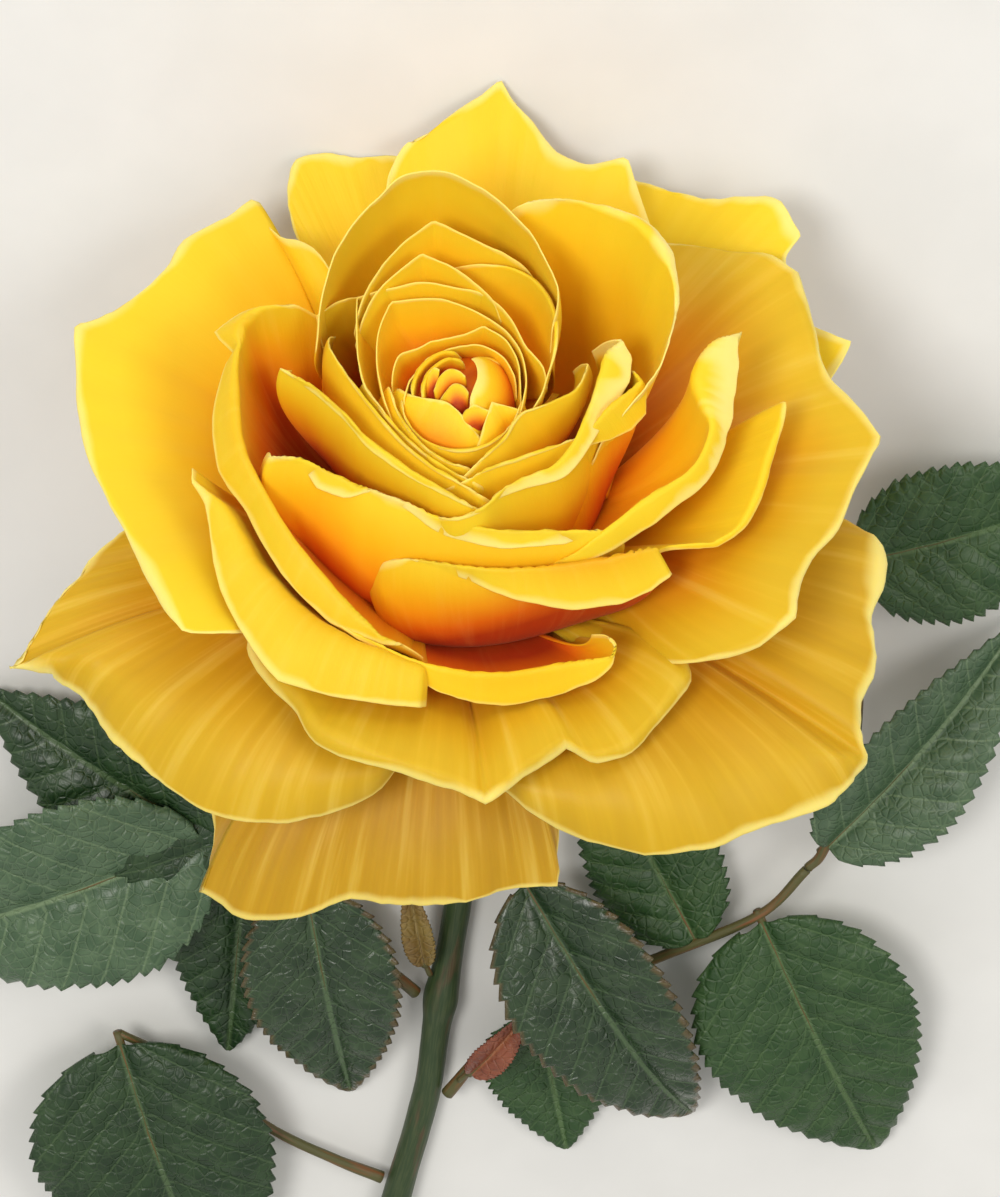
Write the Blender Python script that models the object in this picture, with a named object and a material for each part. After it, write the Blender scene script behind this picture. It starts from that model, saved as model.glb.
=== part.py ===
"""A cut yellow rose on a short leafy stem, lying on its back petals.

Metres, +Z up, the floor at z = 0. The stem runs along -Y to its cut end and the bloom looks towards +Y
and up. Tables are in millimetres. Petals are given in the bloom's own frame: Z along its axis, Y towards
the floor side, azimuths in degrees from X.
"""
from math import cos, pi, radians, sin

import bmesh
import bpy
import numpy as np

MM = 0.001

# ---- how the rose lies
NOD = 30.0                    # the bloom's axis above the floor, degrees
FOOT_HEIGHT = 31.3            # foot of the petals above the floor
ORIGIN = (2.8, -52.9, 0)      # middle of the whole rose, seen from the foot of the petals

STEP = 0.1                    # mm between the points of a leaflet's running midrib

# ---- petals
# Each petal hangs from a fold line. A row of it is azimuth, radius, height and, where the margin has turned
# out beyond the fold, how far out and how far down it then lies.
PETAL_THICK = 0.8
WELD = 0.004                  # points this close are made one after a union
REACH = 0.38                  # length of a column's handles as a share of its span
LEAST_LIP = 1.2               # a margin that turns out less than this is left straight
STRAIGHT_RIM = 0.7            # how far a straight margin runs past its fold
ROWS = (0, 0.3, 0.62, 1)      # shares of a column where it has points
# name, foot (radius, height, share of the span), slope at the foot and at the fold, fold line
PETALS = (
    ("guard left", (4, 1, .6), (26, -8), (
        (186, 44, 14), (192, 53, 13.6), (198, 62, 12), (204, 71, 10), (206, 64, 11.8, .4, 2.6),
        (217, 54.6, 13, 8.3, 7), (235, 50.6, 13.7, 9.7, 7.7), (250, 50, 13.5, 5, 6.5), (261, 44, 13))),
    ("guard back", (4, 0, .6), (24, -58), (
        (223, 47, -2), (231, 57, -12), (233, 64.5, -15), (240, 64, -15), (250, 59, -13.4),
        (268, 55, -10.7), (285, 55, -10.5), (289, 45, -3))),
    ("guard right", (4, 1, .6), (26, -6), (
        (272, 44, 13), (285, 52, 14, 5, 6), (303, 56.3, 13.8, 10.2, 6.8), (317, 63, 13.2, 9.5, 6.2),
        (323, 72, 9.5), (326, 67.5, 13, 1.5, 2), (334, 65.5, 14, 1.6, 1.4), (346, 61.5, 15),
        (353, 54, 15), (352, 46, 14))),
    ("right behind", (4, 2, .5), (22, 20), (
        (-6, 40, 18.5), (8, 53.5, 23.8), (17, 60, 25.5), (26, 54.5, 24.3), (40, 42, 19.7))),
    ("right", (4, 2, .5), (31, 18), (
        (-60, 42, 24.5), (-50, 50.6, 29.4), (-36, 57.3, 31.6), (-26, 54, 31), (-11, 57.3, 32.1),
        (-4, 60.4, 32.6), (8, 53.4, 30.8), (20, 53, 30.8), (28, 55.2, 30.9), (40, 49.5, 29.4),
        (53, 42, 25))),
    ("top right", (4, 2, .5), (25, 24), (
        (20, 45, 23.5), (31, 56.3, 28.2), (34, 60.6, 30.3), (38, 61.4, 30.8), (48, 56, 28.8),
        (60, 53.2, 27.3), (74, 49, 25))),
    ("top left", (4, 2, .5), (24, 24), (
        (92, 48, 24.4), (108, 53.7, 27.3), (116, 55.2, 28), (120.5, 50, 25), (123, 40, 20))),
    ("left", (4, 2, .5), (33, 18), (
        (119, 37, 22), (125, 45.8, 26.2), (126.5, 51, 29.5), (140, 51.3, 30), (147, 50.4, 29.6),
        (164, 57.7, 32.3), (175, 54.3, 31.4), (192, 51.3, 30.2), (208, 49.2, 29.3), (223, 51.8, 29.7),
        (230, 42, 25))),
    ("top", (4, 2, .5), (37, 32), (
        (44, 38, 25.4), (54, 46.6, 30.8), (61, 51.4, 34), (70, 48, 32.6), (78, 51.7, 34.9),
        (84, 57.3, 38), (90, 52.8, 35.4), (104, 47.2, 31.7), (118, 39, 26.6))),
    ("back tall", (7, 4, .5), (62, 80), (
        (30, 16, 45), (57, 20, 51), (74, 22, 53.3), (95, 25.6, 55.2), (108, 26, 55), (132, 23.7, 51),
        (157, 21, 45.5))),
    ("apron", (5, 3, .5), (34, 4), (
        (224, 40, 19.4), (241, 45, 20.4), (255, 49.4, 20.2), (267, 51.5, 20), (274, 55.6, 17.9),
        (288, 48.5, 20), (296, 52.2, 19.9), (312, 47, 20.2), (313, 42, 18.8))),
    ("collar low", (9, 5, .55), (34, 62), (
        (200, 39.5, 36.2), (221, 36.6, 31, 7, 1.5), (237, 37.4, 28.2, 10.8, 1.5),
        (250, 37.6, 26.4, 7.4, 2.5), (263, 38, 24.5, 5, 2.5))),
    ("collar inner low", (8, 5, .55), (36, 70), (
        (240, 35.4, 28.6), (254, 36.4, 26.8), (266, 37.8, 24.5, 2, 3), (279, 38.6, 23.5, 2.5, 4.5),
        (291, 39.4, 24.2, 2, 4), (300, 40.2, 25))),
    ("collar left", (9, 6, .55), (40, 84), (
        (160, 27, 44.6), (167, 30.6, 43.2, 5, 2.6), (171, 31, 42.5, 1.2, 2.2), (186, 31, 40, 3.6, 3.6),
        (210, 31.1, 36, 3.2, 3), (226, 31.7, 33, 4, 2.6), (241, 33.5, 30, 3.3, 2.4), (254, 36, 27.2))),
    ("collar wide", (9.5, 5.5, .55), (36, 75), (
        (300, 33.2, 26), (318, 35.6, 31), (334, 39.4, 33.4, 3.6, 3.4), (346, 41.8, 34.4, 2.4, 2.6),
        (359, 46.3, 36.2))),
    ("collar right", (9, 6, .55), (40, 80), (
        (297, 31.5, 31), (309, 31.3, 35, 1.5, 3.4), (326, 32.3, 37, 1.5, 3.2), (340, 34.6, 38, 1.8, 3),
        (356, 36.6, 40.6, 3.6, 2.6), (370, 40.3, 42.3), (379, 35, 43))),
    ("bowl front", (20, 6, .7), (52, 99), (
        (242, 24.5, 26), (257, 24.4, 30.6), (274, 25.8, 31.5), (286, 27.3, 31.5, 2.5, 3.5),
        (299, 29.5, 31.5, 4.5, 4.5), (312, 33.3, 32.3, 4, 4.6), (321, 36.8, 34))),
    ("back wide", (7, 4, .5), (64, 74), (
        (-20, 22.5, 38), (4, 30, 46), (14, 33, 49), (30, 32.8, 52), (48, 28.5, 53), (70, 23.5, 51))),
    ("cup front", (9, 5, .55), (50, 90), (
        (205, 28.5, 39.5), (211, 24.6, 38.9), (222, 22, 37.6, 1.8, 2), (233, 20.2, 37), (249, 19.8, 37),
        (266, 21, 36, 1.2, 2), (284, 23.2, 36, 1.6, 2), (302, 26.8, 36.2, 1.5, 2), (313, 30, 35))),
    ("cup left", (8, 5, .55), (54, 92), (
        (180, 24.7, 43), (187, 20.8, 43), (200, 17.4, 42), (221, 16.2, 41), (247, 16.4, 40),
        (275, 20.2, 39))),
    ("cup right", (8, 5, .55), (54, 90), (
        (268, 22, 38), (289, 18.8, 39), (312, 19.2, 39.2, 1.5, 1.6), (329, 19.4, 40, 1.6, 1.6),
        (350, 19.5, 41.8, 2.8, 1.9), (369, 23, 44))),
    ("tongue", (8, 5, .5), (54, 84), (
        (325, 19.8, 37.4), (337, 20.2, 40.2, 1.6, 2), (346, 21, 41.5, 3.4, 2.4), (354, 23, 42.1, 2.8, 1.6),
        (363, 24.6, 41.6))),
)
# the heart: fold lines from the outside in
HEART_FOOT = (.5, 5, .6)      # share of the rim's radius, height, share of the span
HEART_SLOPES = (74, 92)
HEART = (
    ((32, 16.7, 44), (55, 17.8, 46.2), (81, 19.3, 47.2), (99, 22.5, 48.4), (120, 19.6, 46.4),
     (140, 17.6, 44)),
    ((-20, 12.1, 41), (6, 13.4, 42.6), (36, 16.5, 44), (58, 18, 44.7), (78, 16.2, 45)),
    ((8, 12, 42), (40, 11, 43), (74, 12.9, 44), (110, 15, 44.5), (139, 19, 43.2), (165, 14.8, 42),
     (204, 11.8, 40.5)),
    ((164, 18.8, 41.8), (190, 14, 41), (228, 12.4, 40), (256, 14.2, 39.2), (280, 18.8, 38.5)),
    ((270, 16.4, 38.6), (290, 14.6, 39.1), (310, 15.6, 39.5), (332, 19.4, 39.6)),
    ((-8, 9, 41), (30, 8.8, 41.9), (66, 8.9, 42.2), (96, 6.5, 42), (130, 7, 41.9), (172, 9.2, 40.9)),
    ((200, 8.3, 39.4), (232, 9.6, 38.8), (270, 10.3, 38.2), (304, 10.2, 38.5), (340, 9.4, 39.4)),
    ((4, 8, 40.7), (40, 6.6, 41.2), (84, 3.6, 41.4), (144, 4.4, 41), (196, 8.2, 40.2)),
    ((192, 6.6, 39.8), (230, 4.4, 40.4), (268, 4.3, 40.5), (316, 6.9, 40.3)),
)
# the solid heart that carries every petal: radius, height
CORE = (
    (0, .6), (5, 1), (10, 4.5), (17, 8.5), (22, 12), (21, 15), (14, 18), (9, 26), (5.5, 33), (3, 36),
    (0, 37),
)

# ---- calyx: radius, height along the bloom's axis
HIP = ((0, -13), (2.6, -12.6), (3, -11), (5.2, -8), (6, -5), (5.6, -2.5), (4.6, -1.2), (2, .0), (0, .2))
SEPALS = 5
SEPAL = ((-42, 7, -2), (-17, 17, -2.6), (0, 28.5, -10.5), (17, 17, -2.6), (42, 7, -2))
SEPAL_FOOT = (3.4, -3, 1)
SEPAL_SLOPES = (8, -20)
FIRST_SEPAL = 54              # azimuth

# ---- stem: centre line and radius, to the cut end
STEM = (
    (0, -11.6, 24.7, 2.0), (0, -26, 16.6, 2.0), (0, -42, 9.6, 2.1), (0, -58, 5, 2.1), (-.5, -76, 2.9, 2.2),
    (-2.4, -90, 2.6, 2.3), (-3.8, -98, 3, 2.9), (-4.6, -104, 2.5, 2.4), (-6.5, -118, 2.4, 2.3),
    (-11, -136, 2.45, 2.4), (-14, -148, 2.5, 2.45), (-15.4, -158, 2.5, 2.45), (-15.6, -168, 2.5, 2.45),
)

# ---- leaves: stalk points (x, y, z, radius), then leaflets
# leaflet: base x, y, z, heading, length, width, pitch at even stations, fold
LEAFLET_THICK = 0.7
LEAF_STATIONS = 9
LEAF_SPAN = (0.03, 0.985)     # shares of a leaflet's length where its blade starts and ends
LEAF_SWELL, LEAF_TAPER, LEAF_PEAK = 0.55, 0.75, 0.52
TOOTH = 0.07
RIB_RADII = (0.75, 0.65, 0.55, 0.4)
RIB_STATIONS = (2, 4, 7)
RIB_DROP = 0.35
RIB_LEAD = 0.12               # share of the first stations that the rib starts ahead of the blade
LEAVES = {
    "leaf_left": (
        ((-8, -97, 3.6, 1.1), (-16, -87, 6.5, .9), (-25, -75, 8.5, .9), (-34, -68, 9, .8),
         (-42, -63.6, 9, .7)),
        ((-41, -64, 9, 204, 60, 38, (8, -2, -14, -25), 14),
         (-25.5, -73, 8.6, -82, 47, 29, (4, -4, -16, -24), 16),
         (-35, -67, 8.6, -96, 43, 26, (-20, -12, -4, 2), 10),
         (-26, -73, 8.4, 128, 44, 27, (2, -4, -14, -22), 12),
         (-35, -67, 8.8, 148, 50, 30, (4, -4, -14, -22), 12)),
    ),
    "leaf_low": (
        ((-14.1, -134.2, 3.2, 1.1), (-22, -130, 3.8, .9), (-33, -124, 3.2, .8), (-46, -112, 3.4, .8),
         (-57, -103, 6.6, .7)),
        ((-57, -104, 7, -76, 57, 44, (10, -1, -12, -22), 10),),
    ),
    "leaf_front": (
        ((2.7, -72, 4.4, 1.0), (6.5, -70.5, 8, .8), (10, -72, 9.6, .7)),
        ((9.6, -71.5, 9.6, -60, 60, 31, (12, 4, -14, -38), 24),),
    ),
    "leaf_right": (
        ((-2.9, -116.7, 4, 1.1), (4, -107, 5, .9), (15, -97.5, 4.6, .9), (32, -89, 5.5, .9),
         (48, -79, 8.6, .8), (55.4, -70.2, 9, .8)),
        ((48.2, -79.5, 8.6, -67, 56, 40, (4, -4, -13, -22), 12),
         (38, -85.3, 6.4, 118, 40, 24, (-12, -8, -4, 0), 8),
         (12, -99.8, 4.6, -80, 30, 24, (-10, -8, -3, 0), 8)),
    ),
    "leaf_far": (
        ((55.6, -69.9, 9, .8), (58, -66.6, 9, .8), (61.5, -55, 8.5, .8), (62.6, -38, 8, .8),
         (60.5, -14, 8.4, .7)),
        ((58.2, -66.2, 9, 52, 50, 26, (8, 0, -14, -26), 30),
         (60.5, -15, 8.4, 15, 42, 30, (6, -3, -14, -24), 12)),
    ),
    "young_leaf": (
        ((-.9, -112.6, 6.2, .5), (2.4, -108, 8.6, .5)),
        ((1, -110, 8, 56, 17, 7.5, (24, 14, 4, -8), 26),),
    ),
    "bract": (
        ((-5.6, -92.8, 4.7, .5), (-6.8, -88, 6.8, .5)),
        ((-6.4, -90, 6, 98, 19, 6.5, (22, 12, 6, -4), 30),),
    ),
}

COLOURS = {
    "bloom": (0.90, 0.55, 0.02), "calyx": (0.08, 0.17, 0.04), "stem": (0.13, 0.17, 0.05),
    "leaf_left": (0.03, 0.10, 0.04), "leaf_low": (0.03, 0.10, 0.04), "leaf_front": (0.03, 0.10, 0.04),
    "leaf_right": (0.03, 0.10, 0.04), "leaf_far": (0.03, 0.10, 0.04),
    "young_leaf": (0.30, 0.05, 0.03), "bract": (0.30, 0.20, 0.06),
}


def through(values, share):
    """Smooth curve through evenly spaced values, read at shares from 0 to 1."""
    v = np.asarray(values, float)
    place = np.clip(share, 0, 1) * (len(v) - 1)
    i = np.clip(place.astype(int), 0, len(v) - 2)
    f = place - i
    pad = np.concatenate([[2 * v[0] - v[1]], v, [2 * v[-1] - v[-2]]])
    a, b, c, d = pad[i], pad[i + 1], pad[i + 2], pad[i + 3]
    return b + 0.5 * f * (c - a + f * (2 * a - 5 * b + 4 * c - d + f * (3 * b - a - 3 * c + d)))


def midrib(rise, length):
    """Running place along a midrib: distance, outward, up and slope."""
    y = np.arange(0, length * 1.4, STEP)
    slope = np.radians(through(rise, y / length))
    return y, np.cumsum(np.cos(slope)) * STEP, np.cumsum(np.sin(slope)) * STEP, slope


def petal_grid(foot, slopes, stations):
    """Middle surface of a petal in the bloom's frame: a column for each row of its fold line."""
    table = np.array([tuple(row) + (0,) * (5 - len(row)) for row in stations], float)
    azimuth = np.radians(table[:, 0])
    middle = (azimuth[0] + azimuth[-1]) / 2
    narrowed = middle + (azimuth - middle) * foot[2]
    radius, height, out, drop = (table[:, k, None] for k in (1, 2, 3, 4))
    up = np.array([0.0, 0, 1])
    outward = np.stack([np.cos(azimuth), np.sin(azimuth), 0 * azimuth], -1)
    foot_outward = np.stack([np.cos(narrowed), np.sin(narrowed), 0 * azimuth], -1)
    fold = outward * radius + up * height
    root = foot_outward * foot[0] + up * foot[1]
    start, end = (radians(slope) for slope in slopes)
    handle = REACH * np.linalg.norm(fold - root, axis=1, keepdims=True)
    leaving = root + handle * (foot_outward * cos(start) + up * sin(start))
    arriving = outward * cos(end) + up * sin(end)
    nearing = fold - handle * arriving
    rows = []
    for f in ROWS:
        g = 1 - f
        rows.append(root * g ** 3 + 3 * leaving * f * g ** 2 + 3 * nearing * f ** 2 * g + fold * f ** 3)
    rows.append(np.where(out < LEAST_LIP, fold + STRAIGHT_RIM * arriving, fold + outward * out - up * drop))
    return np.stack(rows, 1)


def slab(grid, thick):
    """Vertices and faces of a closed sheet around a grid of points."""
    along = np.gradient(grid, axis=0)
    up = np.gradient(grid, axis=1)
    normal = np.cross(along, up)
    normal /= np.linalg.norm(normal, axis=-1, keepdims=True)
    m, n = grid.shape[:2]
    top = (grid + normal * thick / 2).reshape(-1, 3)
    low = (grid - normal * thick / 2).reshape(-1, 3)
    faces = []
    for i in range(m - 1):
        for j in range(n - 1):
            a, b, c, d = i * n + j, (i + 1) * n + j, (i + 1) * n + j + 1, i * n + j + 1
            faces.append((a, b, c, d))
            faces.append((a + m * n, d + m * n, c + m * n, b + m * n))
    ring = [i * n for i in range(m)] + [(m - 1) * n + j for j in range(1, n)]
    ring += [i * n + n - 1 for i in range(m - 2, -1, -1)] + [j for j in range(n - 2, 0, -1)]
    for a, b in zip(ring, ring[1:] + ring[:1]):
        faces.append((a, a + m * n, b + m * n, b))
    return np.vstack([top, low]), faces


def lathe(profile, sides=20):
    """Closed body of revolution about Z; the profile starts and ends on the axis."""
    turn = np.linspace(0, 2 * pi, sides, endpoint=False)
    rings = [np.stack([r * np.cos(turn), r * np.sin(turn), np.full(sides, z)], -1)
             for r, z in profile[1:-1]]
    points = np.vstack(rings + [[(0, 0, profile[0][1])], [(0, 0, profile[-1][1])]])
    low, top = len(points) - 2, len(points) - 1
    faces = []
    for k in range(sides):
        q = (k + 1) % sides
        faces.append((low, q, k))
        last = (len(rings) - 1) * sides
        faces.append((top, last + k, last + q))
        for i in range(len(rings) - 1):
            a = i * sides
            faces.append((a + k, a + q, a + sides + q, a + sides + k))
    return points, faces


def tube(path, sides=10, steps=3, level_end=False):
    """Closed tube along (x, y, z, radius) points."""
    knots = np.asarray(path, float)
    count = (len(knots) - 1) * steps + 1
    share = np.linspace(0, 1, count)
    line = np.stack([through(knots[:, k], share) for k in range(4)], -1)
    centre, radius = line[:, :3], line[:, 3]
    ahead = np.gradient(centre, axis=0)
    if level_end:
        ahead[-1] = (0, -1, 0)
    ahead /= np.linalg.norm(ahead, axis=1, keepdims=True)
    side = np.cross(ahead, (0, 0, 1))
    side /= np.linalg.norm(side, axis=1, keepdims=True)
    over = np.cross(side, ahead)
    turn = np.linspace(0, 2 * pi, sides, endpoint=False) + pi / sides
    points = []
    for i in range(count):
        for q in turn:
            points.append(centre[i] + radius[i] * (cos(q) * side[i] + sin(q) * over[i]))
    faces = []
    for i in range(count - 1):
        for k in range(sides):
            q = (k + 1) % sides
            faces.append((i * sides + k, (i + 1) * sides + k, (i + 1) * sides + q, i * sides + q))
    faces.append(tuple(range(sides)))
    faces.append(tuple((count - 1) * sides + k for k in range(sides - 1, -1, -1)))
    return np.array(points), faces


def leaflet_grid(x, y, z, heading, length, width, pitch, fold):
    """Middle surface of a toothed leaflet, base first."""
    s, v = np.meshgrid(np.linspace(*LEAF_SPAN, LEAF_STATIONS + 1), (-1, 0, 1), indexing="ij")
    half = 0.5 * width * s ** LEAF_SWELL * (1 - s) ** LEAF_TAPER / LEAF_PEAK
    tooth = 1 - TOOTH * (np.arange(LEAF_STATIONS + 1) % 2)[:, None] * (np.abs(v) > 0.9)
    across = v * np.maximum(half, 0.5) * tooth
    run, outward, up, slope = midrib(pitch, length)
    lift = np.abs(across) * sin(radians(fold))
    reach = np.interp(s * length, run, outward)
    height = z + np.interp(s * length, run, up) + lift
    across = across * cos(radians(fold))
    a = radians(heading)
    east = x + reach * cos(a) - across * sin(a)
    north = y + reach * sin(a) + across * cos(a)
    return np.stack([east, north, height], -1)


def rib_path(grid):
    """Midrib under a leaflet, as tube points."""
    middle = grid[:, 1]
    places = [middle[0] - RIB_LEAD * (middle[3] - middle[0])] + [middle[k] for k in RIB_STATIONS]
    return [(*(place - (0, 0, RIB_DROP)), radius) for place, radius in zip(places, RIB_RADII)]


def in_bloom(points):
    """From the bloom's frame to the floor's, in millimetres."""
    a = radians(NOD)
    x, y, z = np.asarray(points).T
    return np.stack([x, y * sin(a) + z * cos(a), FOOT_HEIGHT - y * cos(a) + z * sin(a)], -1)


def solid(name, points, faces, collection=None):
    mesh = bpy.data.meshes.new(name)
    mesh.from_pydata([tuple((p - ORIGIN) * MM) for p in points], [], faces)
    mesh.validate()
    mesh.update()
    obj = bpy.data.objects.new(name, mesh)
    (collection or bpy.context.scene.collection).objects.link(obj)
    return obj


def joined(name, first, others):
    """One body out of overlapping closed ones."""
    base = solid(name, *first)
    group = bpy.data.collections.new(name + " pieces")
    bpy.context.scene.collection.children.link(group)
    for number, (points, faces) in enumerate(others):
        piece = solid(f"{name} piece {number}", points, faces, group)
        piece.hide_render = True
        piece.display_type = "WIRE"
    union = base.modifiers.new("union", "BOOLEAN")
    union.operation = "UNION"
    union.operand_type = "COLLECTION"
    union.solver = "MANIFOLD"
    union.collection = group
    depsgraph = bpy.context.evaluated_depsgraph_get()
    mesh = bpy.data.meshes.new_from_object(base.evaluated_get(depsgraph))
    base.modifiers.remove(union)
    keep_outside(mesh)
    old = base.data
    base.data = mesh
    bpy.data.meshes.remove(old)
    for piece in list(group.objects):
        data = piece.data
        bpy.data.objects.remove(piece)
        bpy.data.meshes.remove(data)
    bpy.data.collections.remove(group)
    return base


def keep_outside(mesh):
    """Fill closed pockets: only the largest shell of a joined body stays."""
    body = bmesh.new()
    body.from_mesh(mesh)
    bmesh.ops.remove_doubles(body, verts=body.verts, dist=WELD * MM)
    bmesh.ops.dissolve_degenerate(body, edges=body.edges, dist=WELD * MM)
    left = set(body.faces)
    shells = []
    while left:
        shell = [left.pop()]
        for face in shell:
            for edge in face.edges:
                for other in edge.link_faces:
                    if other in left:
                        left.remove(other)
                        shell.append(other)
        shells.append(shell)
    shells.sort(key=len)
    for shell in shells[:-1]:
        bmesh.ops.delete(body, geom=shell, context="FACES")
    body.to_mesh(mesh)
    body.free()


def petals():
    grids = [petal_grid(foot, slopes, stations) for _, foot, slopes, stations in PETALS]
    for stations in HEART:
        share, *rest = HEART_FOOT
        foot = (share * np.mean([row[1] for row in stations]), *rest)
        grids.append(petal_grid(foot, HEART_SLOPES, stations))
    return grids


def bloom():
    core, faces = lathe(CORE)
    others = []
    for grid in petals():
        points, sheet_faces = slab(grid, PETAL_THICK)
        others.append((in_bloom(points), sheet_faces))
    return joined("bloom", (in_bloom(core), faces), others)


def calyx():
    hip, faces = lathe(HIP, 16)
    others = []
    for k in range(SEPALS):
        middle = FIRST_SEPAL + 360 / SEPALS * k
        grid = petal_grid(SEPAL_FOOT, SEPAL_SLOPES, [(middle + aside, *row) for aside, *row in SEPAL])
        points, sheet_faces = slab(grid, PETAL_THICK)
        others.append((in_bloom(points), sheet_faces))
    return joined("calyx", (in_bloom(hip), faces), others)


def stem():
    return solid("stem", *tube(STEM, sides=12, steps=2, level_end=True))


def leaf(name, stalk, leaflets):
    others = []
    for row in leaflets:
        grid = leaflet_grid(*row)
        others.append(slab(grid, LEAFLET_THICK))
        others.append(tube(rib_path(grid), sides=5, steps=1))
    return joined(name, tube(stalk, sides=6, steps=2), others)


def paint(obj):
    material = bpy.data.materials.new(obj.name)
    material.use_nodes = True
    shader = material.node_tree.nodes["Principled BSDF"]
    shader.inputs["Base Color"].default_value = (*COLOURS[obj.name], 1)
    shader.inputs["Roughness"].default_value = 0.5
    obj.data.materials.clear()
    obj.data.materials.append(material)


def main():
    for obj in list(bpy.data.objects):
        bpy.data.objects.remove(obj)
    parts = [bloom(), calyx(), stem()]
    parts += [leaf(name, *rows) for name, rows in LEAVES.items()]
    for part in parts:
        paint(part)


main()
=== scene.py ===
"""A cut yellow rose on a leafy stem, lying on a pale floor.

Shapes are worked out in millimetres. Petals and sepals are given in the bloom's own frame: Z along its
axis, Y towards the floor side, azimuths in degrees from X. in_bloom turns that frame into the floor's.
"""

from math import cos, pi, radians, sin

import bpy
import numpy as np
from mathutils import Matrix, Vector
from numpy.linalg import norm


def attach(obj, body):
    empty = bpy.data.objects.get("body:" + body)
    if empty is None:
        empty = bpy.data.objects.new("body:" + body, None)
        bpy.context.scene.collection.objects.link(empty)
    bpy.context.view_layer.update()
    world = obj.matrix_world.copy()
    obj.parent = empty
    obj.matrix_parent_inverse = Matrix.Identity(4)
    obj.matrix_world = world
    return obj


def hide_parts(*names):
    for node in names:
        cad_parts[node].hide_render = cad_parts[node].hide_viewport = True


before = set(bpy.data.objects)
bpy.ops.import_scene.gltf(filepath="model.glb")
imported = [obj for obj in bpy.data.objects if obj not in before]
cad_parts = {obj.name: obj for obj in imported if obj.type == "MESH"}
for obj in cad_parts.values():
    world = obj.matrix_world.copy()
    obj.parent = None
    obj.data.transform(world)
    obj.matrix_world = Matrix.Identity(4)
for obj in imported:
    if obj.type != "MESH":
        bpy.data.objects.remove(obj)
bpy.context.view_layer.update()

MM = 0.001

# ---- how the rose lies: the same values as the solids
NOD = 30.0  # degrees that the bloom's axis rises from level
FOOT_HEIGHT = 31.3  # mm from the floor to the bloom's foot
ORIGIN = np.array([2.8, -52.9, 0])  # mm from the floor under that foot to the frame's origin

# ---- petals
PETAL_THICK = 0.42  # mm at the foot, and half of it at the margin
PETAL_GRID, HEART_GRID = (88, 56), (64, 30)  # points across and up a petal
FIRST_SEED, SEED_STEP = 10, 10

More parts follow.
